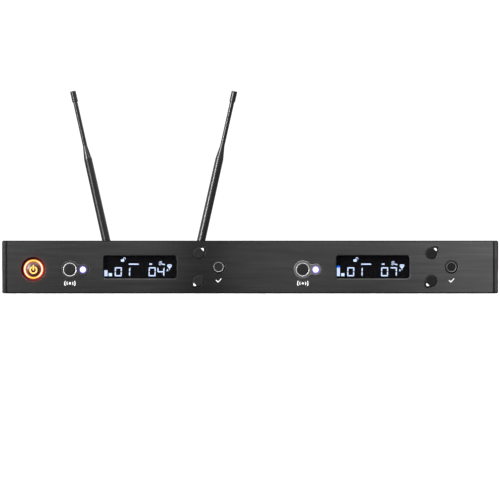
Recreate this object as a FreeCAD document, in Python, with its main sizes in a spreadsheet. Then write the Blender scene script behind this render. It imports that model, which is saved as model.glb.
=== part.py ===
import FreeCAD, Part
import math
import os
import types

import Sketcher
from FreeCAD import Placement, Rotation, Vector

# A one-rack-unit, two-channel wireless receiver: a steel tray and lid behind an aluminium front, two boards
# inside, push buttons on the front and two tilting whip antennas on bayonet sockets at the back.
# Frame: X to the right seen from the front, Y from front to back, Z up. The origin is the centre of the
# tray's underside.

# ---------------------------------------------------------------- driving dimensions, in mm and degrees
DIMENSIONS = [
    # enclosure
    ("panel_width", 420.0, "overall width over both end caps"),
    ("panel_height", 44.8, "overall height of the front"),
    ("panel_thickness", 8.0, "depth of the front panel"),
    ("face_wall", 3.0, "front wall left in front of the panel's recess"),
    ("panel_rim", 3.2, "rim above and below the recess"),
    ("end_land", 9.0, "solid land at each end of the recess"),
    ("edge_break", 0.8, "chamfer round the front face"),
    ("window_break", 0.5, "chamfer round each display window"),
    ("opening_break", 0.3, "chamfer round each other opening in the front face, and down the panel's ends"),
    ("end_strip", 3.0, "thickness of an end cap's side wall"),
    ("end_groove", 1.0, "width of the shadow groove beside the end cap"),
    ("groove_depth", 2.0, "depth of that groove"),
    ("tongue_reach", 8.0, "how far an end cap's tongue runs behind the panel"),
    ("tongue_thickness", 2.4, "thickness of that tongue"),
    ("cap_wrap", 14.0, "how far an end cap runs back along the side"),
    ("cap_round", 1.6, "outer corner radius of an end cap"),
    ("tray_depth", 192.0, "depth of the tray"),
    ("tray_sheet", 1.2, "steel thickness of the tray"),
    ("lid_sheet", 1.0, "steel thickness of the lid"),
    ("lid_gap", 0.2, "clearance between lid and tray"),
    ("lid_drop", 0.6, "how much lower than the panel the lid's top is"),
    ("skirt_lift", 0.6, "height of the lid's skirts above the underside"),
    ("bend_radius", 0.8, "outer radius of the lid's long bends"),
    ("rear_lip", 6.0, "height of the lid's lip over the rear wall"),
    ("front_tab", 14.0, "width of the tray's front tabs"),
    ("front_lip", 5.0, "height of the tray's front lip"),
    ("lid_screw_inset", 12.0, "rearmost side screw to the rear wall"),
    ("vent_length", 26.0, "length of a lid vent"),
    ("vent_width", 2.2, "width of a vent"),
    ("vent_pitch", 5.0, "spacing of the vents"),
    ("vent_inset", 34.0, "distance from the rear wall to the middle of the lid vents"),
    ("vent_bank_pitch", 120.0, "spacing of the lid's three banks of vents"),
    ("floor_vent_length", 40.0, "length of a vent in the tray's floor"),
    ("floor_vent_start", -10.0, "front end of the floor vents behind the tray's middle"),
    ("side_vent_height", 18.0, "height of a side vent"),
    ("side_vent_start", 0.0, "foremost side vent behind the tray's middle"),
    # rack ear fixing
    ("ear_hole", 2.15, "radius of an ear screw hole in the lid's skirt"),
    ("ear_thread", 1.65, "radius of the tapped hole in an ear nut"),
    ("ear_pitch_deep", 32.0, "front to back spacing of the ear holes"),
    ("ear_pitch_high", 24.0, "spacing of the ear holes in height"),
    ("ear_setback", 42.0, "distance from the tray's front to the middle of the ear holes"),
    ("ear_nut", 3.6, "radius of an ear nut"),
    ("ear_nut_depth", 3.0, "thickness of an ear nut"),
    # screws
    ("screw_shank", 1.45, "radius of an M3 screw's shank"),
    ("screw_tapped", 1.5, "radius of a tapped M3 hole in sheet or in a standoff"),
    ("screw_hole", 1.7, "radius of an M3 clearance hole"),
    ("screw_head", 2.6, "radius of an M3 pan head"),
    ("screw_head_height", 1.6, "height of an M3 pan head"),
    ("screw_length", 6.0, "length of an M3 screw under its head"),
    ("screw_recess", 0.8, "depth of a screw's cross recess"),
    ("screw_slot", 0.8, "width of a cross recess arm"),
    ("screw_slot_length", 3.4, "length of a cross recess arm"),
    # stations of the controls along the panel, drawn for a panel of layout_width
    ("layout_width", 420.0, "panel width that the stations are drawn for"),
    ("channel_pitch", 197.0, "distance between the two channels' controls"),
    ("power_station", -183.4, "power button"),
    ("sync_station", -152.5, "left sync button"),
    ("display_station", -93.2, "left display"),
    ("arrow_station", -43.6, "left arrow buttons"),
    ("set_station", -26.7, "left set button"),
    ("boss_station_left", -167.0, "left pair of control board bosses"),
    ("boss_station_middle", 8.0, "middle pair of bosses"),
    ("boss_station_right", 185.5, "right pair of bosses"),
    ("power_drop", 1.8, "power button below the panel's middle"),
    ("sync_drop", 2.2, "sync button and lamp below the panel's middle"),
    ("arrow_rise", 11.6, "arrow buttons above and below the panel's middle"),
    ("boss_rise", 13.4, "bosses above and below the panel's middle"),
    ("boss_radius", 2.8, "radius of a boss"),
    # controls
    ("button_play", 0.12, "clearance round a button"),
    ("button_proud", 0.5, "how far a button stands out of the face"),
    ("cap_edge", 0.75, "rounding of a button's front edge"),
    ("button_flange", 0.9, "how far a button's flange reaches past its hole"),
    ("flange_thickness", 0.8, "thickness of a button's flange"),
    ("flange_gap", 0.1, "clearance in front of a button's flange"),
    ("stem_radius", 1.6, "radius of a button's stem"),
    ("arrow_radius", 4.75, "radius of an arrow button"),
    ("arrow_lobe", 2.4, "radius of its pointing lobe"),
    ("arrow_reach", 4.95, "distance from its centre to the lobe's centre"),
    ("set_radius", 5.35, "radius of a set button"),
    ("set_ring_outer", 4.3, "outer radius of its bright ring"),
    ("set_ring_inner", 3.7, "inner radius of its bright ring"),
    ("sync_ring_outer", 5.95, "outer radius of the sync button's bright ring"),
    ("sync_ring_inner", 4.95, "inner radius of the sync button's bright ring"),
    ("ring_sink", 0.9, "depth that a bright ring is let into its button"),
    ("ring_proud", 0.25, "how far a bright ring stands above its button"),
    ("bezel_radius", 7.96, "radius of the sync bezel's hole round the button"),
    ("bezel_lobe", 5.15, "radius of the sync bezel's hole round the lamp"),
    ("bezel_neck", 3.4, "radius of the neck between them"),
    ("bezel_proud", 0.35, "how far the sync bezel stands out of the face"),
    ("bezel_flange", 0.9, "how far its flange reaches past its hole"),
    ("bezel_flange_thickness", 1.2, "thickness of that flange"),
    ("lamp_offset", 11.0, "sync lamp to the right of the sync button"),
    ("lamp_radius", 2.55, "radius of the lamp's lens"),
    ("lamp_proud", 0.7, "how far the lamp stands out of the face"),
    ("lamp_flange", 3.4, "radius of the lamp's flange"),
    ("power_cap_radius", 6.2, "radius of the power button"),
    ("power_ring_gap", 0.15, "clearance between the power button and the lit ring"),
    ("power_ring_width", 2.15, "width of the lit ring"),
    ("power_ring_play", 0.1, "clearance between the lit ring and its bezel"),
    ("power_bezel_wall", 1.7, "wall of the power bezel inside the panel's hole"),
    ("power_bezel_flange", 1.4, "how far the power bezel's flange reaches past that hole"),
    ("power_stem", 2.5, "radius of its stem"),
    ("power_dish", 0.9, "depth of the bezel's cone, which is how far the lit ring lies below the face"),
    ("power_ring_edge", 0.5, "rounding of the lit ring's edges"),
    ("power_proud", 0.2, "how far the power button stands out of the face"),
    ("power_cap_edge", 1.0, "rounding of the power button's front edge"),
    ("window_width", 61.8, "width of a display window"),
    ("window_height", 19.6, "height of a display window"),
    ("window_round", 2.0, "corner radius of a display window"),
    ("window_play", 0.08, "clearance round a display lens"),
    ("lens_recess", 0.35, "how far a lens lies below the face"),
    ("lens_flange", 1.6, "how far a lens reaches behind the face wall"),
    ("lens_flange_thickness", 1.0, "thickness of that flange"),
    ("display_margin", 4.2, "how far a display module reaches past its window sideways"),
    ("display_rim", 3.0, "how far it reaches past above and below"),
    ("display_glass", 1.1, "thickness of the display's glass"),
    ("display_frame_wall", 1.2, "wall of the display's metal frame"),
    # boards
    ("board_gap", 9.0, "front panel's inner face to the control board"),
    ("board_thickness", 1.6, "thickness of either board"),
    ("board_play", 1.6, "control board inside the tray's front opening"),
    ("control_board_height", 32.8, "height of the control board"),
    ("switch_side", 6.0, "side of a tact switch"),
    ("switch_height", 3.5, "height of a tact switch"),
    ("switch_bore", 1.85, "radius of a tact switch's plunger hole"),
    ("switch_bore_depth", 2.8, "depth of that hole"),
    ("plunger_entry", 0.8, "how far a resting stem reaches into its switch"),
    ("power_switch_side", 12.0, "side of the power switch"),
    ("power_switch_height", 4.0, "height of the power switch"),
    ("power_switch_bore", 2.8, "radius of its plunger hole"),
    ("power_switch_bore_depth", 3.6, "depth of that hole"),
    ("standoff_height", 6.0, "main board above the tray's floor"),
    ("standoff_radius", 2.75, "radius of a standoff"),
    ("standoff_foot", 2.1, "radius of a standoff's foot, pressed flush into the tray's floor"),
    ("board_side_gap", 12.0, "main board to the tray's side walls"),
    ("board_front_gap", 14.0, "main board to the tray's front wall"),
    ("board_rear_gap", 26.0, "main board to the tray's rear wall"),
    ("standoff_inset", 6.0, "standoff to the main board's edge"),
    ("shield_width", 62.0, "width of a tuner shield"),
    ("shield_depth", 84.0, "depth of a tuner shield"),
    ("shield_height", 13.0, "height of a tuner shield"),
    ("shield_sheet", 0.5, "tinplate thickness"),
    ("capacitor_radius", 4.2, "radius of a supply capacitor"),
    ("capacitor_height", 14.0, "height of a supply capacitor"),
    ("capacitor_pitch", 12.0, "spacing of the supply capacitors"),
    ("capacitor_inset", 84.0, "main board's front edge to the capacitors"),
    ("sink_width", 44.0, "width of the heat sink"),
    ("sink_depth", 14.0, "depth of the heat sink"),
    ("sink_height", 16.0, "height of its fins"),
    ("sink_base", 3.0, "thickness of its base"),
    ("sink_inset", 50.0, "main board's front edge to the heat sink"),
    ("fin_thickness", 1.2, "thickness of a fin"),
    ("chip_height", 1.4, "height of a chip"),
    ("chip_side_1", 14.0, "side of the processor"),
    ("chip_station_1", 60.0, "station of the processor"),
    ("chip_inset_1", 40.0, "main board's front edge to the processor"),
    ("chip_side_2", 10.0, "side of the audio converter"),
    ("chip_station_2", 95.0, "station of the audio converter"),
    ("chip_inset_2", 60.0, "main board's front edge to the audio converter"),
    ("chip_side_3", 12.0, "side of the memory chip"),
    ("chip_station_3", 20.0, "station of the memory chip"),
    ("chip_inset_3", 24.0, "main board's front edge to the memory chip"),
    ("header_height", 5.0, "height of a ribbon header"),
    ("header_depth", 8.0, "depth of a ribbon header"),
    ("header_inset", 4.0, "main board's front edge to its header"),
    ("header_ends", 3.0, "how far a header reaches past the ribbon sideways"),
    ("header_rise", 12.0, "control board's lower edge to the middle of its header"),
    ("ribbon_width", 26.0, "width of the ribbon cable"),
    ("ribbon_thickness", 1.0, "thickness of the ribbon cable"),
    ("ribbon_bend", 4.0, "bend radius of the ribbon cable"),
    ("ribbon_station", 96.0, "station of the ribbon cable"),
    ("coax_radius", 0.9, "radius of a coax lead"),
    ("coax_bend", 5.0, "bend radius of a coax lead"),
    # rear connectors, at stations drawn for a panel of layout_width
    ("antenna_station_left", -127.6, "left antenna socket"),
    ("antenna_station_right", -50.4, "right antenna socket"),
    ("xlr_station_1", 2.0, "first balanced output"),
    ("xlr_station_2", 46.0, "second balanced output"),
    ("jack_station", 88.0, "mixed output jack"),
    ("power_inlet_station", 160.0, "power inlet"),
    ("lip_screw_left", -88.0, "left screw of the lid's rear lip"),
    ("lip_screw_middle", 24.0, "middle screw"),
    ("lip_screw_right", 124.0, "right screw"),
    ("xlr_width", 26.0, "flange width of a balanced output"),
    ("xlr_height", 30.0, "flange height of a balanced output"),
    ("xlr_flange", 2.2, "flange thickness of a balanced output"),
    ("xlr_round", 3.0, "corner radius of that flange"),
    ("xlr_body", 11.8, "radius of its body"),
    ("xlr_cup", 9.4, "inner radius of its cup"),
    ("xlr_cup_depth", 14.0, "depth of its cup"),
    ("xlr_back", 4.0, "thickness behind the cup"),
    ("xlr_pin", 1.2, "radius of a contact pin"),
    ("xlr_pin_circle", 4.6, "radius of the pin circle"),
    ("xlr_pin_length", 12.0, "length of a contact pin in the cup"),
    ("xlr_screw_x", 9.5, "screws sideways from the socket's axis"),
    ("xlr_screw_z", 12.0, "screws above and below the socket's axis"),
    ("bushing_radius", 4.75, "radius of a 3/8 inch threaded bushing"),
    ("bushing_play", 0.08, "clearance round a bushing"),
    ("bushing_nut", 7.0, "half the width over flats of a bushing nut"),
    ("bushing_nut_height", 2.4, "height of a bushing nut"),
    ("jack_bore", 3.25, "radius of the 6.35 mm jack's bore"),
    ("jack_nose", 6.0, "how far the jack's bushing stands out at the rear"),
    ("jack_bore_depth", 22.0, "length of the jack's bore"),
    ("jack_body", 15.0, "side of the jack's body"),
    ("jack_body_depth", 24.0, "depth of the jack's body"),
    ("inlet_nose", 4.0, "radius of the power inlet's nose"),
    ("inlet_bore", 2.9, "radius of the power inlet's bore"),
    ("inlet_pin", 1.0, "radius of the power inlet's pin"),
    ("inlet_pin_length", 8.0, "length of that pin"),
    ("inlet_proud", 0.6, "how far the power inlet's nose stands out"),
    ("inlet_depth", 9.5, "depth of the power inlet's bore"),
    ("inlet_body", 11.0, "side of the power inlet's body"),
    ("inlet_body_depth", 13.0, "depth of the power inlet's body"),
    ("socket_reach", 10.0, "how far an antenna socket stands out"),
    ("socket_bore", 4.05, "bore radius of an antenna socket"),
    ("socket_bore_depth", 9.0, "bore depth of an antenna socket"),
    ("socket_flange", 7.2, "radius of its inner flange"),
    ("socket_flange_thickness", 2.5, "thickness of its inner flange"),
    ("socket_tail", 6.0, "length of its tail inside the case"),
    ("socket_insulator", 2.4, "radius of its insulator"),
    ("socket_insulator_length", 4.2, "length of its insulator"),
    ("socket_contact", 0.75, "radius of its centre contact's hole"),
    ("lug_radius", 0.95, "radius of a bayonet lug"),
    ("lug_tip", 5.5, "distance from the axis to a lug's tip"),
    ("lug_setback", 3.5, "distance from the socket's mouth to its lugs"),
    # antennas
    ("antenna_lean", 12.6, "lean of a whip away from upright"),
    ("collar_start", 3.0, "rear wall to the bayonet collar"),
    ("collar_length", 11.5, "length of the bayonet collar"),
    ("collar_radius", 7.2, "radius of the bayonet collar"),
    ("collar_bore", 5.75, "bore radius of the collar over the lugs"),
    ("collar_neck", 4.5, "bore radius of the collar's inner flange"),
    ("collar_flange", 3.0, "thickness of the collar's inner flange"),
    ("knurl_radius", 0.35, "radius of a knurl groove"),
    ("knurl_length", 7.1, "length of a knurl groove"),
    ("knurl_inset", 1.5, "knurl grooves to the collar's rear end"),
    ("fit_play", 0.1, "clearance between turning antenna pieces"),
    ("plug_sleeve", 3.9, "outer radius of the antenna's plug sleeve"),
    ("plug_wall", 1.1, "wall of that sleeve"),
    ("plug_shoulder", 5.5, "radius of the shoulder that holds the collar"),
    ("base_radius", 6.2, "radius of the antenna's base"),
    ("base_length", 5.6, "length of the antenna's base"),
    ("hinge_setback", 6.5, "base to the hinge axis"),
    ("ear_radius", 5.2, "radius of the fork's ears"),
    ("ear_thickness", 2.4, "thickness of an ear"),
    ("tongue_width", 4.2, "thickness of the whip's hinge tongue"),
    ("tongue_radius", 4.4, "radius of the whip's hinge tongue"),
    ("hinge_pin_radius", 1.5, "radius of the hinge pin"),
    ("hinge_pin_head", 2.3, "radius of the hinge pin's heads"),
    ("hinge_head_thickness", 0.6, "thickness of the hinge pin's heads"),
    ("hinge_play", 0.05, "radial clearance of the hinge pin"),
    ("shoulder_height", 7.6, "hinge axis to the knuckle's shoulder"),
    ("sheath_start", 16.0, "hinge axis to the sheath"),
    ("spigot_radius", 2.4, "radius of the knuckle's spigot in the sheath"),
    ("spigot_length", 9.0, "length of that spigot"),
    ("whip_length", 165.0, "hinge axis to the tip"),
    ("whip_foot", 3.9, "radius of the sheath at its foot"),
    ("whip_thick", 3.72, "radius of the sheath below its taper"),
    ("whip_thin", 2.08, "radius of the sheath above its taper"),
    ("taper_start", 101.0, "hinge axis to the taper"),
    ("taper_length", 12.5, "length of the taper"),
    ("tip_radius", 2.7, "radius of the tip"),
    ("tip_length", 10.2, "length of the tip"),
    ("tip_edge", 0.5, "rounding of the tip's rims"),
    ("tip_socket", 5.0, "depth of the sheath in the tip"),
]

doc = FreeCAD.newDocument("receiver")
NODES = {}
SIDES = {"left": -1, "right": 1}
STANDOFF_ROWS = 4
LID_VENTS = 13
FLOOR_VENTS = 9
SIDE_VENTS = 9
KNURLS = 28
PIN_ANGLES = (50, 130, 270)
CAPACITORS = 5
FINS = 9
CHIPS = (1, 2, 3)
BOUNDARY = 1e-6


class Size:
    """A number that remembers the sheet expression it came from, so that it can be both drawn and bound."""

    def __init__(self, text, value):
        self.text = text
        self.value = value

    def joined(self, sign, other, value):
        return Size(f"({self.text} {sign} {other.text})", value)

    def __add__(self, other):
        other = sized(other)
        return self.joined("+", other, self.value + other.value)

    def __sub__(self, other):
        other = sized(other)
        return self.joined("-", other, self.value - other.value)

    def __mul__(self, other):
        other = sized(other)
        return self.joined("*", other, self.value * other.value)

    def __truediv__(self, other):
        other = sized(other)
        return self.joined("/", other, self.value / other.value)

    def __radd__(self, other):
        return sized(other) + self

    def __rsub__(self, other):
        return sized(other) - self

    def __rmul__(self, other):
        return sized(other) * self

    def __neg__(self):
        return Size(f"(0 - {self.text})", -self.value)


def sized(value):
    """value as a Size."""
    return value if isinstance(value, Size) else Size(f"({float(value)})", float(value))


def make_sheet():
    """The spreadsheet, and a namespace with one Size for each of its aliases."""
    sheet = doc.addObject("Spreadsheet::Sheet", "Dims")
    sizes = types.SimpleNamespace()
    for row, (alias, value, note) in enumerate(DIMENSIONS, 1):
        sheet.set(f"A{row}", note)
        sheet.set(f"B{row}", str(value))
        sheet.setAlias(f"B{row}", alias)
        setattr(sizes, alias, Size(f"Dims.{alias}", value))
    doc.recompute()
    return sizes


d = make_sheet()


# ---------------------------------------------------------------- sketch outlines
def fix(sketch, kind, geometry, point, value):
    """Fixes a point's X ("DistanceX") or Y ("DistanceY") from the sketch's origin to a bound size."""
    value = sized(value)
    index = sketch.addConstraint(Sketcher.Constraint(kind, -1, 1, geometry, point, value.value))
    sketch.setExpression(f"Constraints[{index}]", value.text)


def fix_point(sketch, geometry, point, x, y):
    fix(sketch, "DistanceX", geometry, point, x)
    fix(sketch, "DistanceY", geometry, point, y)


def fix_radius(sketch, geometry, radius):
    radius = sized(radius)
    index = sketch.addConstraint(Sketcher.Constraint("Radius", geometry, radius.value))
    sketch.setExpression(f"Constraints[{index}]", radius.text)


def polygon(*corners):
    """A closed outline of straight lines through corners, each a pair of sizes."""

    def draw(sketch):
        first = sketch.GeometryCount
        count = len(corners)
        points = [Vector(sized(x).value, sized(y).value, 0) for x, y in corners]
        for i in range(count):
            sketch.addGeometry(Part.LineSegment(points[i], points[(i + 1) % count]))
        for i in range(count):
            following = first + (i + 1) % count
            sketch.addConstraint(Sketcher.Constraint("Coincident", first + i, 2, following, 1))
            fix_point(sketch, first + i, 1, *corners[i])

    return draw


def rectangle(x_low, x_high, y_low, y_high):
    return polygon((x_low, y_low), (x_high, y_low), (x_high, y_high), (x_low, y_high))


def centred(x, y, width, height):
    return rectangle(x - width / 2, x + width / 2, y - height / 2, y + height / 2)


def circle(x, y, radius):
    def draw(sketch):
        centre = Vector(sized(x).value, sized(y).value, 0)
        index = sketch.addGeometry(Part.Circle(centre, Vector(0, 0, 1), sized(radius).value))
        fix_point(sketch, index, 3, x, y)
        fix_radius(sketch, index, radius)

    return draw


def arc(centre, radius, start, end):
    """An arc of a circle for a sketch, anticlockwise from angle start to angle end."""
    return Part.ArcOfCircle(Part.Circle(centre, Vector(0, 0, 1), radius), start, end)


def line_between(first_arc, second_arc):
    """A line from the end of one arc to the start of the next."""
    return Part.LineSegment(first_arc.EndPoint, second_arc.StartPoint)


def smooth_loop(sketch, arcs, centres, radii):
    """Draws arcs joined by lines that are tangent to them, anticlockwise, with bound centres and radii."""
    first = sketch.GeometryCount
    count = len(arcs)
    for i in range(count):
        sketch.addGeometry(arcs[i])
        sketch.addGeometry(line_between(arcs[i], arcs[(i + 1) % count]))
    for i in range(count):
        this_arc, line = first + 2 * i, first + 2 * i + 1
        next_arc = first + (2 * i + 2) % (2 * count)
        sketch.addConstraint(Sketcher.Constraint("Tangent", this_arc, 2, line, 1))
        sketch.addConstraint(Sketcher.Constraint("Tangent", line, 2, next_arc, 1))
        fix_point(sketch, this_arc, 3, *centres[i])
        fix_radius(sketch, this_arc, radii[i])


def rounded(x, y, width, height, radius):
    """A rectangle about (x, y) with rounded corners."""

    def draw(sketch):
        inset_x, inset_y = width / 2 - radius, height / 2 - radius
        corners = [(x + inset_x, y - inset_y), (x + inset_x, y + inset_y)]
        corners += [(x - inset_x, y + inset_y), (x - inset_x, y - inset_y)]
        arcs = []
        for i, (across, up) in enumerate(corners):
            start = (i - 1) * math.pi / 2
            arcs.append(arc(Vector(across.value, up.value, 0), radius.value, start, start + math.pi / 2))
        smooth_loop(sketch, arcs, corners, [radius] * 4)

    return draw


def slot(x, y_low, y_high, radius):
    """An upright slot with round ends, centred on x."""

    def draw(sketch):
        ends = [(x, y_high - radius), (x, y_low + radius)]
        arcs = []
        for i, (across, up) in enumerate(ends):
            centre = Vector(across.value, up.value, 0)
            arcs.append(arc(centre, radius.value, i * math.pi, (i + 1) * math.pi))
        smooth_loop(sketch, arcs, ends, [radius, radius])

    return draw


def drop(x, y, radius, lobe, reach, direction):
    """A drop: a circle and a smaller lobe, reach away towards direction in degrees, joined by tangents."""

    def draw(sketch):
        angle = math.radians(direction)
        lobe_centre = (x + reach * math.cos(angle), y + reach * math.sin(angle))
        spread = math.acos((radius.value - lobe.value) / reach.value)
        big = Vector(x.value, y.value, 0)
        small = Vector(lobe_centre[0].value, lobe_centre[1].value, 0)
        arcs = [
            arc(big, radius.value, angle + spread, angle - spread + 2 * math.pi),
            arc(small, lobe.value, angle - spread, angle + spread),
        ]
        smooth_loop(sketch, arcs, [(x, y), lobe_centre], [radius, lobe])

    return draw


def keyhole(x, y, grow):
    """The sync bezel's outline, grown by a size: a circle, a neck and a smaller circle to its right."""

    def draw(sketch):
        first = sketch.GeometryCount
        radius, lobe, neck = d.bezel_radius + grow, d.bezel_lobe + grow, d.bezel_neck - grow
        big, small = Vector(x.value, y.value, 0), Vector((x + d.lamp_offset).value, y.value, 0)
        apart = d.lamp_offset.value
        from_big, from_small = (radius + neck).value, (lobe + neck).value
        along = (from_big**2 - from_small**2 + apart**2) / (2 * apart)
        up = math.sqrt(from_big**2 - along**2)
        big_angle, small_angle = math.atan2(up, along), math.atan2(up, along - apart)
        low_neck, high_neck = big + Vector(along, -up, 0), big + Vector(along, up, 0)
        sketch.addGeometry(arc(big, radius.value, big_angle, 2 * math.pi - big_angle))
        sketch.addGeometry(arc(low_neck, neck.value, math.pi - small_angle, math.pi - big_angle))
        sketch.addGeometry(arc(small, lobe.value, -small_angle, small_angle))
        sketch.addGeometry(arc(high_neck, neck.value, math.pi + big_angle, math.pi + small_angle))
        for a, a_end, b, b_end in ((0, 2, 1, 2), (1, 1, 2, 1), (2, 2, 3, 2), (3, 1, 0, 1)):
            sketch.addConstraint(Sketcher.Constraint("Tangent", first + a, a_end, first + b, b_end))
        fix_point(sketch, first, 3, x, y)
        fix_point(sketch, first + 2, 3, x + d.lamp_offset, y)
        for index, size in enumerate((radius, neck, lobe, neck)):
            fix_radius(sketch, first + index, size)

    return draw


# ---------------------------------------------------------------- part design bodies
class Body:
    """A PartDesign body. Each feature runs from a place on its plane's axis towards the positive end."""

    # sketch plane: the origin feature's role, and which way its normal points along the world axis
    PLANES = {"XY": ("XY_Plane", 1), "XZ": ("XZ_Plane", -1), "YZ": ("YZ_Plane", 1)}

    def __init__(self, name):
        self.name = name
        self.body = doc.addObject("PartDesign::Body", name)
        self.body.Label = name
        NODES[name] = self.body

    def sketch(self, plane, at, outlines):
        role, sign = self.PLANES[plane]
        made = self.body.newObject("Sketcher::SketchObject", f"{self.name}_sketch")
        support = [f for f in self.body.Origin.OriginFeatures if f.Role == role][0]
        made.AttachmentSupport = [(support, "")]
        made.MapMode = "FlatFace"
        made.setExpression("AttachmentOffset.Base.z", (sized(at) * sign).text)
        for draw in outlines:
            draw(made)
        made.Visibility = False
        return made

    def volume(self):
        return self.body.Shape.Volume if self.body.Tip else 0.0

    def extrude(self, kind, plane, at, length, outlines):
        """A pad or pocket from at to at + length along the plane's axis."""
        before = self.volume()
        profile = self.sketch(plane, at, outlines)
        feature = self.body.newObject(f"PartDesign::{kind}", f"{self.name}_{kind.lower()}")
        feature.Profile = profile
        feature.setExpression("Length", sized(length).text)
        forwards = self.PLANES[plane][1] == 1
        feature.Reversed = forwards if kind == "Pocket" else not forwards
        doc.recompute()
        self.must_change(kind, before)
        return feature

    def must_change(self, kind, before):
        grew = self.volume() - before
        if (grew <= BOUNDARY) if kind in ("Pad", "Revolution") else (grew >= -BOUNDARY):
            raise RuntimeError(f"{self.name}: a {kind} changed nothing")

    def pad(self, plane, at, length, *outlines):
        return self.extrude("Pad", plane, at, length, outlines)

    def pocket(self, plane, at, length, *outlines):
        return self.extrude("Pocket", plane, at, length, outlines)

    def revolve(self, *outlines):
        """A full turn about the body's Z axis of outlines drawn in the XZ plane."""
        before = self.volume()
        feature = self.body.newObject("PartDesign::Revolution", f"{self.name}_revolution")
        feature.Profile = self.sketch("XZ", 0, outlines)
        axis = [f for f in self.body.Origin.OriginFeatures if f.Role == "Z_Axis"][0]
        feature.ReferenceAxis = (axis, [""])
        feature.Angle = 360
        doc.recompute()
        self.must_change("Revolution", before)

    def repeat_about_y(self, feature, count):
        """Repeats a feature evenly about the body's Y axis."""
        before = self.volume()
        axis = [f for f in self.body.Origin.OriginFeatures if f.Role == "Y_Axis"][0]
        pattern = self.body.newObject("PartDesign::PolarPattern", f"{self.name}_pattern")
        pattern.Originals = [feature]
        pattern.Axis = (axis, [""])
        pattern.Angle = 360
        pattern.Occurrences = count
        self.body.Tip = pattern
        doc.recompute()
        self.must_change("Pocket", before)

    def repeat_along(self, axis_name, feature, pitch, count):
        """Repeats a feature at a pitch along the body's X or Y axis."""
        before = self.volume()
        axis = [f for f in self.body.Origin.OriginFeatures if f.Role == f"{axis_name}_Axis"][0]
        pattern = self.body.newObject("PartDesign::LinearPattern", f"{self.name}_pattern")
        pattern.Originals = [feature]
        pattern.Direction = (axis, [""])
        pattern.setExpression("Length", (pitch * (count - 1)).text)
        pattern.Occurrences = count
        self.body.Tip = pattern
        doc.recompute()
        self.must_change("Pocket", before)

    def dress(self, kind, size, choose):
        """Fillets or chamfers the newest feature's edges that choose(edge, its centre, the box) accepts."""
        base = self.body.Tip
        box = base.Shape.BoundBox
        names = []
        for i, edge in enumerate(base.Shape.Edges, 1):
            if choose(edge, edge.BoundBox.Center, box):
                names.append(f"Edge{i}")
        feature = self.body.newObject(f"PartDesign::{kind}", f"{self.name}_{kind.lower()}")
        feature.Base = (base, names)
        feature.setExpression("Radius" if kind == "Fillet" else "Size", sized(size).text)
        doc.recompute()


def near(a, b):
    return abs(a - b) < 1e-4


def front_rim(edge, centre, box):
    """True for the edges of a body's foremost face."""
    return near(edge.BoundBox.YMin, box.YMin) and near(edge.BoundBox.YMax, box.YMin)


# ---------------------------------------------------------------- part primitives and booleans
AXES = {
    "x": Rotation(Vector(0, 1, 0), 90),
    "y": Rotation(Vector(1, 0, 0), -90),
    "z": Rotation(Vector(0, 0, 1), 0),
}


def bind(obj, **sizes):
    for name, value in sizes.items():
        obj.setExpression(name, sized(value).text)


def put(obj, x, y, z, turn=Rotation()):
    """Gives obj a bound place."""
    obj.Placement = Placement(Vector(0, 0, 0), turn)
    for name, value in (("x", x), ("y", y), ("z", z)):
        obj.setExpression(f"Placement.Base.{name}", sized(value).text)
    return obj


def block(x, y, z, width, depth, height):
    """A box centred on x, from y backwards and from z upwards."""
    made = doc.addObject("Part::Box", "block")
    bind(made, Length=width, Width=depth, Height=height)
    return put(made, x - sized(width) / 2, y, z)


def rod(axis, x, y, z, radius, length):
    """A cylinder from (x, y, z) in the positive direction of an axis."""
    made = doc.addObject("Part::Cylinder", "rod")
    bind(made, Radius=radius, Height=length)
    return put(made, x, y, z, AXES[axis])


def hexagon(axis, x, y, z, half_flats, length):
    """A hexagonal bar from (x, y, z) in the positive direction of an axis."""
    made = doc.addObject("Part::Prism", "hexagon")
    made.Polygon = 6
    bind(made, Circumradius=half_flats / math.cos(math.pi / 6), Height=length)
    return put(made, x, y, z, AXES[axis])


def join(*shapes):
    """The union of touching or overlapping shapes."""
    made = doc.addObject("Part::MultiFuse", "join")
    made.Shapes = list(shapes)
    made.Refine = True
    return made


def group(*shapes):
    """Separate solids kept as one object."""
    made = doc.addObject("Part::Compound", "group")
    made.Links = list(shapes)
    return made


def cut(base, *tools):
    made = doc.addObject("Part::Cut", "cut")
    made.Base = base
    made.Tool = tools[0] if len(tools) == 1 else group(*tools)
    return made


def ring(axis, x, y, z, outer, inner, length):
    """A tube, with its bore cut past both ends."""
    back = {"x": (1, 0, 0), "y": (0, 1, 0), "z": (0, 0, 1)}[axis]
    bore = rod(axis, x - back[0], y - back[1], z - back[2], inner, length + 2)
    return cut(rod(axis, x, y, z, outer, length), bore)


def node(name, obj):
    obj.Label = name
    NODES[name] = obj
    return obj


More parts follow.
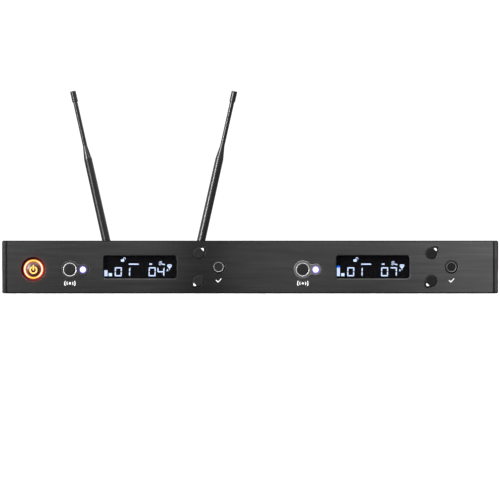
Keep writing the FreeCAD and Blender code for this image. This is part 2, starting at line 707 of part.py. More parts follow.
def screw(x, y, z, axis, direction):
    """An M3 pan-head screw whose head sits at (x, y, z) and whose shank points along axis in direction."""
    steps = {"x": (1, 0, 0), "y": (0, 1, 0), "z": (0, 0, 1)}[axis]

    def along(start):
        return [c + (start * s if s else 0) for c, s in zip((sized(x), sized(y), sized(z)), steps)]

    backwards = direction < 0
    head_low = sized(0) if backwards else -d.screw_head_height
    shank_low = -d.screw_length if backwards else sized(0)
    shank = rod(axis, *along(shank_low), d.screw_shank, d.screw_length)
    head = rod(axis, *along(head_low), d.screw_head, d.screw_head_height)
    recess = d.screw_recess
    recess_low = d.screw_head_height - recess if backwards else -d.screw_head_height
    arms = []
    for long_side, short_side in ((d.screw_slot_length, d.screw_slot), (d.screw_slot, d.screw_slot_length)):
        px, py, pz = along(recess_low)
        if axis == "x":
            low_y, low_z = py - long_side / 2, pz - short_side / 2
            arms.append(block(px + recess / 2, low_y, low_z, recess, long_side, short_side))
        elif axis == "y":
            arms.append(block(px, py, pz - short_side / 2, long_side, recess, short_side))
        else:
            arms.append(block(px, py - short_side / 2, pz, long_side, short_side, recess))
    return cut(join(shank, head), *arms)


# ---------------------------------------------------------------- shared places
spread = d.panel_width / d.layout_width
half_width = d.panel_width / 2
middle = d.panel_height / 2
tray_front = -d.tray_depth / 2
tray_rear = d.tray_depth / 2
face = tray_front - d.panel_thickness
wall_back = face + d.face_wall
plate_half = half_width - d.end_strip - d.end_groove
case_half = half_width - d.end_strip
tray_half = case_half - d.lid_sheet - d.lid_gap
tray_inner = tray_half - d.tray_sheet
lid_top = d.panel_height - d.lid_drop
tray_top = lid_top - d.lid_sheet - d.lid_gap
board_front = wall_back + d.board_gap
opening_half = tray_inner - d.front_tab
panel_screw_x = plate_half - d.tongue_reach / 2
panel_screw_rise = d.boss_rise
main_board_z = d.tray_sheet + d.standoff_height
main_board_half = tray_inner - d.board_side_gap
main_board_front = tray_front + d.tray_sheet + d.board_front_gap
main_board_depth = tray_rear - d.tray_sheet - d.board_rear_gap - main_board_front
ear_y = tray_front + d.ear_setback
lid_screw_y = [ear_y + d.ear_pitch_deep, tray_rear - d.ear_setback, tray_rear - d.lid_screw_inset]


def station(place, channel=0):
    """Where a control or connector lies along the panel; channel 1 is the right one."""
    return (place + d.channel_pitch * channel) * spread


power_at = (station(d.power_station), middle - d.power_drop)
power_ring_inner = d.power_cap_radius + d.power_ring_gap
power_ring_outer = power_ring_inner + d.power_ring_width
power_bezel_bore = power_ring_outer + d.power_ring_play
power_hole = power_bezel_bore + d.power_bezel_wall
sync_at = {side: (station(d.sync_station, i), middle - d.sync_drop) for i, side in enumerate(SIDES)}
lamp_at = {side: (x + d.lamp_offset, z) for side, (x, z) in sync_at.items()}
display_at = {side: (station(d.display_station, i), middle) for i, side in enumerate(SIDES)}
arrow_x = {side: station(d.arrow_station, i) for i, side in enumerate(SIDES)}
arrow_z = {"up": middle + d.arrow_rise, "down": middle - d.arrow_rise}
set_at = {side: (station(d.set_station, i), middle) for i, side in enumerate(SIDES)}
boss_at = []
for boss_station in (d.boss_station_left, d.boss_station_middle, d.boss_station_right):
    for rise in (d.boss_rise, -d.boss_rise):
        boss_at.append((station(boss_station), middle + rise))
ARROW_DIRECTION = {"up": 45, "down": 225}
socket_x = {"left": station(d.antenna_station_left), "right": station(d.antenna_station_right)}
xlr_x = {"1": station(d.xlr_station_1), "2": station(d.xlr_station_2)}
jack_x = station(d.jack_station)
inlet_x = station(d.power_inlet_station)
panel_screw_at = [(panel_screw_x * s, middle + panel_screw_rise * r) for s in (-1, 1) for r in (-1, 1)]
ear_at = []
for deep in (-1, 1):
    for high in (-1, 1):
        ear_at.append((ear_y + d.ear_pitch_deep * deep / 2, middle + d.ear_pitch_high * high / 2))
ribbon_x = station(d.ribbon_station)
header_width = d.ribbon_width + d.header_ends * 2
header_level = middle - d.control_board_height / 2 + d.header_rise
rear_screw_x = [station(place) for place in (d.lip_screw_left, d.lip_screw_middle, d.lip_screw_right)]


# ---------------------------------------------------------------- enclosure
def make_front_panel():
    panel = Body("front_panel")
    panel.pad("XZ", face, d.panel_thickness, rectangle(-plate_half, plate_half, 0, d.panel_height))

    def long_edge(edge, centre, box):
        return front_rim(edge, centre, box) and near(centre.x, 0)

    def end_edge(edge, centre, box):
        return front_rim(edge, centre, box) and not near(centre.x, 0)

    panel.dress("Chamfer", d.edge_break, long_edge)
    panel.dress("Chamfer", d.opening_break, end_edge)
    recess_half = plate_half - d.end_land
    recess = rectangle(-recess_half, recess_half, d.panel_rim, d.panel_height - d.panel_rim)
    panel.pocket("XZ", wall_back, d.panel_thickness, recess)
    bosses = [circle(x, z, d.boss_radius) for x, z in boss_at]
    panel.pad("XZ", wall_back, d.board_gap, *bosses)
    boss_holes = [circle(x, z, d.screw_shank) for x, z in boss_at]
    panel.pocket("XZ", board_front - d.screw_length, d.screw_length, *boss_holes)
    tongue_x = plate_half - d.tongue_reach
    rebate_front = tray_front - d.tongue_thickness
    for s in SIDES.values():
        rebate = rectangle(tongue_x * s, (plate_half + 1) * s, -1, d.panel_height + 1)
        panel.pocket("XZ", rebate_front, d.panel_thickness, rebate)
    screw_holes = [circle(x, z, d.screw_shank) for x, z in panel_screw_at]
    tapped_front = tray_front + d.tray_sheet - d.screw_length
    panel.pocket("XZ", tapped_front, d.panel_thickness, *screw_holes)
    openings = [circle(*power_at, power_hole)]
    for side in SIDES:
        openings.append(keyhole(*sync_at[side], sized(0)))
        openings.append(rounded(*display_at[side], d.window_width, d.window_height, d.window_round))
        openings.append(circle(*set_at[side], d.set_radius + d.button_play))
        for way, direction in ARROW_DIRECTION.items():
            play = d.button_play
            outline = (d.arrow_radius + play, d.arrow_lobe + play, d.arrow_reach, direction)
            openings.append(drop(arrow_x[side], arrow_z[way], *outline))
    panel.pocket("XZ", face - 1, d.face_wall + 2, *openings)

    def beside_window(centre):
        reach = (d.window_width / 2 + d.window_break * 2).value
        return any(abs(centre.x - x.value) < reach for x, z in display_at.values())

    def inside(edge, centre, box):
        margin = 1.1 * d.edge_break.value
        low, high = edge.BoundBox.ZMin, edge.BoundBox.ZMax
        level = box.ZMin + margin < low and high < box.ZMax - margin
        return front_rim(edge, centre, box) and level and abs(centre.x) < box.XMax - margin

    def window_edge(edge, centre, box):
        return inside(edge, centre, box) and beside_window(centre)

    def opening_edge(edge, centre, box):
        return inside(edge, centre, box) and not beside_window(centre)

    panel.dress("Chamfer", d.window_break, window_edge)
    panel.dress("Chamfer", d.opening_break, opening_edge)


def make_end_cap(side):
    s = SIDES[side]
    cap = Body(f"end_cap_{side}")
    tongue_front = tray_front - d.tongue_thickness
    outline = [
        (half_width, face),
        (half_width, tray_front + d.cap_wrap),
        (case_half, tray_front + d.cap_wrap),
        (case_half, tray_front),
        (plate_half - d.tongue_reach, tray_front),
        (plate_half - d.tongue_reach, tongue_front),
        (plate_half, tongue_front),
        (plate_half, face + d.groove_depth),
        (case_half, face + d.groove_depth),
        (case_half, face),
    ]
    cap.pad("XY", 0, d.panel_height, polygon(*[(x * s, y) for x, y in outline]))
    outer = half_width.value * s

    def outer_edge(edge, centre, box):
        return near(centre.x, outer) and not near(centre.y, box.YMax)

    cap.dress("Fillet", d.cap_round, outer_edge)
    holes = [circle(x, z, d.screw_hole) for x, z in panel_screw_at if x.value * s > 0]
    cap.pocket("XZ", tongue_front - 1, d.tongue_thickness + 2, *holes)


def make_base_tray():
    tray = Body("base_tray")
    tray.pad("XY", 0, tray_top, rectangle(-tray_half, tray_half, tray_front, tray_rear))
    inner_front, inner_rear = tray_front + d.tray_sheet, tray_rear - d.tray_sheet
    tray.pocket("XY", d.tray_sheet, tray_top, rectangle(-tray_inner, tray_inner, inner_front, inner_rear))
    opening = rectangle(-opening_half, opening_half, d.front_lip, tray_top + 1)
    tray.pocket("XZ", tray_front - 1, d.tray_sheet + 2, opening)
    panel_holes = [circle(x, z, d.screw_hole) for x, z in panel_screw_at]
    tray.pocket("XZ", tray_front - 1, d.tray_sheet + 2, *panel_holes)
    rear = [circle(x, middle, d.bushing_radius + d.bushing_play) for x in socket_x.values()]
    rear.append(circle(jack_x, middle, d.bushing_radius + d.bushing_play))
    rear.append(circle(inlet_x, middle, d.inlet_nose + d.bushing_play))
    for x in xlr_x.values():
        rear.append(circle(x, middle, d.xlr_body + d.bushing_play))
        for s in (-1, 1):
            rear.append(circle(x + d.xlr_screw_x * s, middle + d.xlr_screw_z * s, d.screw_tapped))
    for x in rear_screw_x:
        rear.append(circle(x, lid_top - d.rear_lip / 2, d.screw_tapped))
    tray.pocket("XZ", inner_rear - 1, d.tray_sheet + 2, *rear)
    feet = [circle(x, y, d.standoff_foot) for x, y in standoff_places()]
    tray.pocket("XY", -1, d.tray_sheet + 2, *feet)
    vents = []
    for x in socket_x.values():
        vent_x = x - d.vent_pitch * ((FLOOR_VENTS - 1) / 2)
        vent_end = d.floor_vent_start + d.floor_vent_length
        vents.append(slot(vent_x, d.floor_vent_start, vent_end, d.vent_width / 2))
    floor_vents = tray.pocket("XY", -1, d.tray_sheet + 2, *vents)
    tray.repeat_along("X", floor_vents, d.vent_pitch, FLOOR_VENTS)
    for s in SIDES.values():
        start = tray_inner - 1 if s > 0 else -tray_half - 1
        side_holes = [circle(y, z, d.ear_nut - 1) for y, z in ear_at]
        side_holes += [circle(y, middle, d.screw_tapped) for y in lid_screw_y]
        tray.pocket("YZ", start, d.tray_sheet + 2, *side_holes)


def make_top_cover():
    lid = Body("top_cover")
    lid_height = lid_top - d.skirt_lift
    back = tray_rear + d.lid_sheet
    lid.pad("XY", d.skirt_lift, lid_height, rectangle(-case_half, case_half, tray_front, back))

    def long_bend(edge, centre, box):
        on_top = near(edge.BoundBox.ZMin, box.ZMax) and near(edge.BoundBox.ZMax, box.ZMax)
        return on_top and not near(centre.y, box.YMin)

    lid.dress("Fillet", d.bend_radius, long_bend)
    inner = case_half - d.lid_sheet
    room = rectangle(-inner, inner, tray_front - 1, tray_rear)
    lid.pocket("XY", d.skirt_lift - 1, lid_height - d.lid_sheet + 1, room)
    lip_bottom = lid_top - d.rear_lip
    below_lip = rectangle(-case_half - 1, case_half + 1, -1, lip_bottom)
    lid.pocket("XZ", tray_rear - 1, d.lid_sheet + 2, below_lip)
    vents = []
    vent_y = tray_rear - d.vent_inset
    half_vent = d.vent_length / 2
    for bank in (-1, 0, 1):
        first_x = station(d.vent_bank_pitch * bank) - d.vent_pitch * ((LID_VENTS - 1) / 2)
        vents.append(slot(first_x, vent_y - half_vent, vent_y + half_vent, d.vent_width / 2))
    vent_cut = lid.pocket("XY", lid_top - d.lid_sheet - 1, d.lid_sheet + 2, *vents)
    lid.repeat_along("X", vent_cut, d.vent_pitch, LID_VENTS)
    lip_holes = [circle(x, lid_top - d.rear_lip / 2, d.screw_hole) for x in rear_screw_x]
    lid.pocket("XZ", tray_rear - 1, d.lid_sheet + 2, *lip_holes)
    for s in SIDES.values():
        start = inner - 1 if s > 0 else -case_half - 1
        holes = [circle(y, z, d.ear_hole) for y, z in ear_at]
        holes += [circle(y, middle, d.screw_hole) for y in lid_screw_y]
        lid.pocket("YZ", start, d.lid_sheet + 2, *holes)
        half_height = d.side_vent_height / 2
        side_vent = slot(d.side_vent_start, middle - half_height, middle + half_height, d.vent_width / 2)
        side_cut = lid.pocket("YZ", start, d.lid_sheet + 2, side_vent)
        lid.repeat_along("Y", side_cut, d.vent_pitch, SIDE_VENTS)


def make_fasteners():
    lid_screws = []
    for y in lid_screw_y:
        lid_screws.append(screw(case_half, y, middle, "x", -1))
        lid_screws.append(screw(-case_half, y, middle, "x", 1))
    for x in rear_screw_x:
        lid_screws.append(screw(x, tray_rear + d.lid_sheet, lid_top - d.rear_lip / 2, "y", -1))
    node("cover_screws", group(*lid_screws))

    inner_screws = [screw(x, tray_front + d.tray_sheet, z, "y", -1) for x, z in panel_screw_at]
    inner_screws += [screw(x, board_front + d.board_thickness, z, "y", -1) for x, z in boss_at]
    board_top = main_board_z + d.board_thickness
    inner_screws += [screw(x, y, board_top, "z", -1) for x, y in standoff_places()]
    node("inner_screws", group(*inner_screws))

    nuts = []
    for s in SIDES.values():
        for y, z in ear_at:
            start = tray_inner - d.ear_nut_depth if s > 0 else -tray_inner
            spigot = tray_inner if s > 0 else -tray_half
            nut = join(
                rod("x", start, y, z, d.ear_nut, d.ear_nut_depth),
                rod("x", spigot, y, z, d.ear_nut - 1, d.tray_sheet),
            )
            bore_start = start - 1 if s > 0 else -tray_half - 1
            bore = rod("x", bore_start, y, z, d.ear_thread, d.ear_nut_depth + d.tray_sheet + 2)
            nuts.append(cut(nut, bore))
    node("ear_nuts", group(*nuts))

    bushing_nuts = []
    for x in (socket_x["left"], socket_x["right"], jack_x):
        body = hexagon("y", x, tray_rear, middle, d.bushing_nut, d.bushing_nut_height)
        bore = rod("y", x, tray_rear - 1, middle, d.bushing_radius + d.bushing_play, d.bushing_nut_height + 2)
        bushing_nuts.append(cut(body, bore))
    node("bushing_nuts", group(*bushing_nuts))

    socket_screws = []
    for x in xlr_x.values():
        for s in (-1, 1):
            at = (x + d.xlr_screw_x * s, tray_rear + d.xlr_flange, middle + d.xlr_screw_z * s)
            socket_screws.append(screw(*at, "y", -1))
    node("connector_screws", group(*socket_screws))


# ---------------------------------------------------------------- front controls
def make_display_lens(side):
    x, z = display_at[side]
    lens = Body(f"display_lens_{side}")
    play = d.window_play * 2
    clear = rounded(x, z, d.window_width - play, d.window_height - play, d.window_round - d.window_play)
    front = face + d.lens_recess
    lens.pad("XZ", front, wall_back - front, clear)
    flange = centred(x, z, d.window_width + d.lens_flange * 2, d.window_height + d.lens_flange * 2)
    lens.pad("XZ", wall_back, d.lens_flange_thickness, flange)


def make_display_module(side):
    """The module's metal frame with its glass let into the front, as two solids of one node."""
    x, z = display_at[side]
    glass_front = wall_back + d.lens_flange_thickness + d.lid_gap
    width = d.window_width + d.display_margin * 2
    height = d.window_height + d.display_rim * 2
    low = z - height / 2
    frame = block(x, glass_front, low, width, board_front - glass_front, height)
    wall = d.display_frame_wall
    seat = block(x, glass_front - 1, low + wall, width - wall * 2, d.display_glass + 1, height - wall * 2)
    glass_play = wall + d.lid_gap
    glass_width, glass_height = width - glass_play * 2, height - glass_play * 2
    glass = block(x, glass_front, low + glass_play, glass_width, d.display_glass, glass_height)
    node(f"display_module_{side}", group(cut(frame, seat), glass))


def make_sync_bezel(side):
    x, z = sync_at[side]
    bezel = Body(f"sync_bezel_{side}")
    front = face - d.bezel_proud
    play = d.button_play
    bezel.pad("XZ", front, wall_back - front, keyhole(x, z, -play))
    bezel.dress("Chamfer", d.bezel_proud - 0.05, front_rim)
    bezel.pad("XZ", wall_back, d.bezel_flange_thickness, keyhole(x, z, d.bezel_flange))
    lamp_x, lamp_z = lamp_at[side]
    holes = [circle(x, z, d.sync_ring_outer + play), circle(lamp_x, lamp_z, d.lamp_radius + play)]
    bezel.pocket("XZ", front - 1, d.panel_thickness + 2, *holes)


def make_lamp(side):
    x, z = lamp_at[side]
    lamp = Body(f"sync_lamp_{side}")
    front = face - d.lamp_proud
    behind = wall_back + d.bezel_flange_thickness
    lamp.pad("XZ", front, behind - front, circle(x, z, d.lamp_radius))
    lamp.dress("Fillet", d.lamp_proud * 1.2, front_rim)
    lamp.pad("XZ", behind, d.flange_thickness, circle(x, z, d.lamp_flange))
    guide = behind + d.flange_thickness
    lamp.pad("XZ", guide, board_front - guide, circle(x, z, d.stem_radius))


def make_cap(name, x, z, radius, front, flange_front):
    """A round button: a cap, a flange behind the panel and a stem that reaches into its switch."""
    cap = Body(name)
    cap.pad("XZ", front, flange_front - front, circle(x, z, radius))
    cap.dress("Fillet", d.cap_edge, front_rim)
    add_flange_and_stem(cap, x, z, flange_front, circle(x, z, radius + d.button_flange))
    return cap


def add_flange_and_stem(cap, x, z, flange_front, outline):
    cap.pad("XZ", flange_front, d.flange_thickness, outline)
    stem_start = flange_front + d.flange_thickness
    stem_end = board_front - d.switch_height + d.plunger_entry
    cap.pad("XZ", stem_start, stem_end - stem_start, circle(x, z, d.stem_radius))


def make_set_button(side):
    """The set button and the bright ring let into its front."""
    x, z = set_at[side]
    front = face - d.button_proud
    cap = make_cap(f"set_button_{side}", x, z, d.set_radius, front, wall_back + d.flange_gap)
    band = [circle(x, z, d.set_ring_outer), circle(x, z, d.set_ring_inner)]
    cap.pocket("XZ", front - 1, d.ring_sink + 1, *band)
    bright = Body(f"set_ring_{side}")
    bright.pad("XZ", front - d.ring_proud, d.ring_sink + d.ring_proud, *band)
    bright.dress("Fillet", d.ring_proud * 0.9, front_rim)


def make_sync_button(side):
    """The bright ring is a flanged tube held in the bezel, and the button's cap slides inside it."""
    x, z = sync_at[side]
    bright = Body(f"sync_ring_{side}")
    ring_front = face - d.bezel_proud - d.ring_proud
    ring_flange = wall_back + d.bezel_flange_thickness
    ring_hole = circle(x, z, d.sync_ring_inner)
    bright.pad("XZ", ring_front, ring_flange - ring_front, circle(x, z, d.sync_ring_outer), ring_hole)
    bright.dress("Fillet", d.ring_proud * 0.9, front_rim)
    flange = circle(x, z, d.sync_ring_outer + d.button_flange)
    bright.pad("XZ", ring_flange, d.flange_thickness, flange, ring_hole)

    cap_radius, cap_front = d.sync_ring_inner - d.button_play, face - d.button_proud
    flange_front = ring_flange + d.flange_thickness + d.flange_gap
    make_cap(f"sync_button_{side}", x, z, cap_radius, cap_front, flange_front)


def make_arrow_button(way, side):
    x, z = arrow_x[side], arrow_z[way]
    cap = Body(f"{way}_button_{side}")
    front = face - d.button_proud
    shape = (d.arrow_reach, ARROW_DIRECTION[way])
    flange_front = wall_back + d.flange_gap
    cap.pad("XZ", front, flange_front - front, drop(x, z, d.arrow_radius, d.arrow_lobe, *shape))
    cap.dress("Fillet", d.cap_edge, front_rim)
    wide = drop(x, z, d.arrow_radius + d.button_flange, d.arrow_lobe + d.button_flange, *shape)
    add_flange_and_stem(cap, x, z, flange_front, wide)


def make_power_control():
    x, z = power_at
    ring_front = face + d.power_dish
    ring_back = wall_back + d.bezel_flange_thickness
    bezel = Body("power_bezel")
    bezel.pad("XZ", face, d.face_wall, circle(x, z, power_hole - d.button_play))
    bezel.pad("XZ", wall_back, d.bezel_flange_thickness, circle(x, z, power_hole + d.power_bezel_flange))
    bezel.pocket("XZ", face - 1, d.panel_thickness, circle(x, z, power_bezel_bore))

    def dish_edge(edge, centre, box):
        return front_rim(edge, centre, box) and near(edge.BoundBox.XLength / 2, power_bezel_bore.value)

    bezel.dress("Chamfer", d.power_dish, dish_edge)

    lit = Body("power_light_ring")
    band = [circle(x, z, power_ring_outer), circle(x, z, power_ring_inner)]
    lit.pad("XZ", ring_front, ring_back - ring_front, *band)
    lit.dress("Fillet", d.power_ring_edge, front_rim)

    cap = Body("power_button")
    cap_front = face - d.power_proud
    flange_front = ring_back + d.flange_gap
    cap.pad("XZ", cap_front, flange_front - cap_front, circle(x, z, d.power_cap_radius))
    cap.dress("Fillet", d.power_cap_edge, front_rim)
    cap.pad("XZ", flange_front, d.flange_thickness, circle(x, z, d.power_cap_radius + d.button_flange))
    stem_start = flange_front + d.flange_thickness
    stem_end = board_front - d.power_switch_height + d.plunger_entry
    cap.pad("XZ", stem_start, stem_end - stem_start, circle(x, z, d.power_stem))

    side = d.power_switch_side
    switch_front = board_front - d.power_switch_height
    body = block(x, switch_front, z - side / 2, side, d.power_switch_height, side)
    bore = rod("y", x, switch_front - 1, z, d.power_switch_bore, d.power_switch_bore_depth + 1)
    node("power_switch", cut(body, bore))


def make_control_board():
    height = d.control_board_height
    width = (opening_half - d.board_play) * 2
    board = block(0, board_front, middle - height / 2, width, d.board_thickness, height)
    holes = [rod("y", x, board_front - 1, z, d.screw_hole, d.board_thickness + 2) for x, z in boss_at]
    node("control_board", cut(board, *holes))

    places = list(sync_at.values()) + list(set_at.values())
    places += [(arrow_x[side], arrow_z[way]) for side in SIDES for way in ARROW_DIRECTION]
    switches = []
    switch_front = board_front - d.switch_height
    for x, z in places:
        body = block(x, switch_front, z - d.switch_side / 2, d.switch_side, d.switch_height, d.switch_side)
        bore = rod("y", x, switch_front - 1, z, d.switch_bore, d.switch_bore_depth + 1)
        switches.append(cut(body, bore))
    node("tact_switches", group(*switches))


# ---------------------------------------------------------------- inside the tray
def standoff_places():
    places = []
    reach = main_board_half - d.standoff_inset
    front, rear = d.standoff_inset, main_board_depth - d.standoff_inset
    for i in range(STANDOFF_ROWS):
        x = reach * (2 * i / (STANDOFF_ROWS - 1) - 1)
        places += [(x, main_board_front + front), (x, main_board_front + rear)]
    return places


def make_main_board():
    board = block(0, main_board_front, main_board_z, main_board_half * 2, main_board_depth, d.board_thickness)
    holes = []
    standoffs = []
    for x, y in standoff_places():
        holes.append(rod("z", x, y, main_board_z - 1, d.screw_hole, d.board_thickness + 2))
        body = rod("z", x, y, d.tray_sheet, d.standoff_radius, d.standoff_height)
        foot = rod("z", x, y, 0, d.standoff_foot, d.tray_sheet)
        tapped = d.screw_length - d.board_thickness + 1
        bore = rod("z", x, y, main_board_z - tapped, d.screw_tapped, tapped + 1)
        standoffs.append(cut(join(body, foot), bore))
    node("main_board", cut(board, *holes))
    node("board_standoffs", group(*standoffs))


def shield_front():
    return main_board_front + main_board_depth - d.shield_depth - d.standoff_inset * 2


def make_shields():
    shields = []
    top = main_board_z + d.board_thickness
    for x in socket_x.values():
        outside = block(x, shield_front(), top, d.shield_width, d.shield_depth, d.shield_height)
        wall = d.shield_sheet
        width, depth = d.shield_width - wall * 2, d.shield_depth - wall * 2
        inside = block(x, shield_front() + wall, top - 1, width, depth, d.shield_height - wall + 1)
        shields.append(cut(outside, inside))
    node("tuner_shields", group(*shields))


def make_board_components():
    """Supply capacitors, a finned heat sink, three chips and the ribbon's two headers."""
    top = main_board_z + d.board_thickness
    parts = []
    row_y = main_board_front + d.capacitor_inset
    for i in range(CAPACITORS):
        x = inlet_x - d.capacitor_pitch * ((CAPACITORS - 1) / 2) + d.capacitor_pitch * i
        parts.append(rod("z", x, row_y, top, d.capacitor_radius, d.capacitor_height))
    sink_y = main_board_front + d.sink_inset
    sink = [block(inlet_x, sink_y, top, d.sink_width, d.sink_depth, d.sink_base)]
    fin_pitch = (d.sink_width - d.fin_thickness) / (FINS - 1)
    for i in range(FINS):
        x = inlet_x - (d.sink_width - d.fin_thickness) / 2 + fin_pitch * i
        sink.append(block(x, sink_y, top, d.fin_thickness, d.sink_depth, d.sink_height))
    parts.append(join(*sink))
    for number in CHIPS:
        side = getattr(d, f"chip_side_{number}")
        x = station(getattr(d, f"chip_station_{number}"))
        y = main_board_front + getattr(d, f"chip_inset_{number}")
        parts.append(block(x, y, top, side, side, d.chip_height))
    header_y = main_board_front + d.header_inset
    parts.append(block(ribbon_x, header_y, top, header_width, d.header_depth, d.header_height))
    header_z = header_level - d.header_depth / 2
    header_y = board_front + d.board_thickness
    parts.append(block(ribbon_x, header_y, header_z, header_width, d.header_height, d.header_depth))
    node("board_components", group(*parts))


def make_ribbon():
    """The flat ribbon, from the control board's header over a bend to the main board's header."""
    ribbon = Body("ribbon_cable")
    start_y = board_front + d.board_thickness + d.header_height
    level = header_level
    end_y = main_board_front + d.header_inset + d.header_depth / 2
    bottom = main_board_z + d.board_thickness + d.header_height
    thickness, bend = d.ribbon_thickness, d.ribbon_bend

    def draw(sketch):
        top_z = level + thickness / 2
        low_z = level - thickness / 2
        outside = end_y + thickness / 2
        inside = end_y - thickness / 2
        first = sketch.GeometryCount
        centre = Vector((outside - bend).value, (top_z - bend).value, 0)
        outer_arc = arc(centre, bend.value, 0, math.pi / 2)
        inner_arc = arc(centre, (bend - thickness).value, 0, math.pi / 2)
        corners = [
            Vector(start_y.value, top_z.value, 0),
            Vector(start_y.value, low_z.value, 0),
            Vector(inside.value, bottom.value, 0),
            Vector(outside.value, bottom.value, 0),
        ]
        pieces = [
            outer_arc,
            Part.LineSegment(outer_arc.EndPoint, corners[0]),
            Part.LineSegment(corners[0], corners[1]),
            Part.LineSegment(corners[1], inner_arc.EndPoint),
            inner_arc,
            Part.LineSegment(inner_arc.StartPoint, corners[2]),
            Part.LineSegment(corners[2], corners[3]),
            Part.LineSegment(corners[3], outer_arc.StartPoint),
        ]
        for piece in pieces:
            sketch.addGeometry(piece)
        for a, a_end, b, b_end in ((0, 2, 1, 1), (3, 2, 4, 2), (4, 1, 5, 1), (7, 2, 0, 1)):
            sketch.addConstraint(Sketcher.Constraint("Tangent", first + a, a_end, first + b, b_end))
        for a, b in ((1, 2), (2, 3), (5, 6), (6, 7)):
            sketch.addConstraint(Sketcher.Constraint("Coincident", first + a, 2, first + b, 1))
        sketch.addConstraint(Sketcher.Constraint("Coincident", first, 3, first + 4, 3))
        fix_point(sketch, first, 3, outside - bend, top_z - bend)
        fix_radius(sketch, first, bend)
        fix_radius(sketch, first + 4, bend - thickness)
        fix_point(sketch, first + 2, 1, start_y, top_z)
        fix_point(sketch, first + 2, 2, start_y, low_z)
        fix_point(sketch, first + 6, 1, inside, bottom)
        fix_point(sketch, first + 6, 2, outside, bottom)

    ribbon.pad("YZ", ribbon_x - d.ribbon_width / 2, d.ribbon_width, draw)


def bent_path(points, radius):
    """A wire of straight runs through points, with a tangent arc of one radius at each inner point."""
    edges = []
    start = points[0]
    for i in range(1, len(points) - 1):
        back = (points[i - 1] - points[i]).normalize()
        ahead = (points[i + 1] - points[i]).normalize()
        half = back.getAngle(ahead) / 2
        trim = radius / math.tan(half)
        first, last = points[i] + back * trim, points[i] + ahead * trim
        centre_way = (back + ahead).normalize()
        crown = points[i] + centre_way * (radius / math.sin(half) - radius)
        edges.append(Part.LineSegment(start, first).toShape())
        edges.append(Part.Arc(first, crown, last).toShape())
        start = last
    edges.append(Part.LineSegment(start, points[-1]).toShape())
    return Part.Wire(edges)


def make_coax_leads():
    """One lead from the tail of each antenna socket, down and forwards into its tuner shield."""
    tails = NODES["bnc_jacks"].Shape.BoundBox
    shields = NODES["tuner_shields"].Shape.BoundBox
    leads = []
    for x in socket_x.values():
        shield_z = (shields.ZMin + shields.ZMax) / 2
        gap = tails.YMin - shields.YMax
        points = [
            Vector(x.value, tails.YMin, middle.value),
            Vector(x.value, tails.YMin - gap / 2, middle.value),
            Vector(x.value + gap, tails.YMin - gap / 2, shield_z),
            Vector(x.value + gap, shields.YMax, shield_z),
        ]
        runs = [(b - a).Length for a, b in zip(points, points[1:])]
        radius = min(d.coax_bend.value, 0.4 * min(runs))
        path = bent_path(points, radius)
        profile = Part.Wire(Part.Circle(points[0], Vector(0, 1, 0), d.coax_radius.value).toShape())
        lead = path.makePipeShell([profile], True, False)
        expected = math.pi * d.coax_radius.value**2 * path.Length
        if abs(lead.Volume / expected - 1) > 0.02:
            raise RuntimeError("a coax lead's volume is not its section times its length")
        leads.append(lead)
    made = doc.addObject("Part::Feature", "coax_leads")
    made.Shape = Part.makeCompound(leads)
    node("coax_leads", made)


# ---------------------------------------------------------------- rear connectors
def make_xlr(number):
    x = xlr_x[number]
    body = Body(f"output_socket_{number}")
    depth = d.xlr_cup_depth + d.xlr_back
    mouth = tray_rear + d.xlr_flange
    body.pad("XZ", tray_rear, d.xlr_flange, rounded(x, middle, d.xlr_width, d.xlr_height, d.xlr_round))
    body.pad("XZ", mouth - depth, depth - d.xlr_flange, circle(x, middle, d.xlr_body))
    body.pocket("XZ", mouth - d.xlr_cup_depth, d.xlr_cup_depth + 1, circle(x, middle, d.xlr_cup))
    holes = []
    for s in (-1, 1):
        holes.append(circle(x + d.xlr_screw_x * s, middle + d.xlr_screw_z * s, d.screw_hole))
    body.pocket("XZ", tray_rear - 1, d.xlr_flange + 2, *holes)
    pin_holes = [circle(*place, d.xlr_pin) for place in pin_places(x)]
    body.pocket("XZ", mouth - depth - 1, d.xlr_back + 2, *pin_holes)


def pin_places(x):
    """The three contacts: two above the axis and one below it."""
    places = []
    for angle in PIN_ANGLES:
        across = d.xlr_pin_circle * math.cos(math.radians(angle))
        places.append((x + across, middle + d.xlr_pin_circle * math.sin(math.radians(angle))))
    return places


def make_xlr_pins():
    mouth = tray_rear + d.xlr_flange
    start = mouth - d.xlr_cup_depth - d.xlr_back
    pins = []
    for x in xlr_x.values():
        for place_x, place_z in pin_places(x):
            pins.append(rod("y", place_x, start - 3, place_z, d.xlr_pin, d.xlr_back + d.xlr_pin_length + 3))
    node("output_socket_pins", group(*pins))


def make_jack():
    side = d.jack_body
    inside = tray_rear - d.tray_sheet
    bushing = rod("y", jack_x, inside - 1, middle, d.bushing_radius, d.tray_sheet + d.jack_nose + 1)
    box = block(jack_x, inside - d.jack_body_depth, middle - side / 2, side, d.jack_body_depth, side)
    mouth = tray_rear + d.jack_nose
    bore = rod("y", jack_x, mouth - d.jack_bore_depth, middle, d.jack_bore, d.jack_bore_depth + 1)
    node("jack_socket", cut(join(bushing, box), bore))


def make_power_inlet():
    inside = tray_rear - d.tray_sheet
    side = d.inlet_body
    box = block(inlet_x, inside - d.inlet_body_depth, middle - side / 2, side, d.inlet_body_depth, side)
    nose_length = d.tray_sheet + d.inlet_proud
    nose = rod("y", inlet_x, inside - 1, middle, d.inlet_nose, nose_length + 1)
    mouth = inside + nose_length
    bore = rod("y", inlet_x, mouth - d.inlet_depth, middle, d.inlet_bore, d.inlet_depth + 1)
    pin = rod("y", inlet_x, mouth - d.inlet_depth, middle, d.inlet_pin, d.inlet_pin_length)
    node("power_inlet", join(cut(join(box, nose), bore), pin))


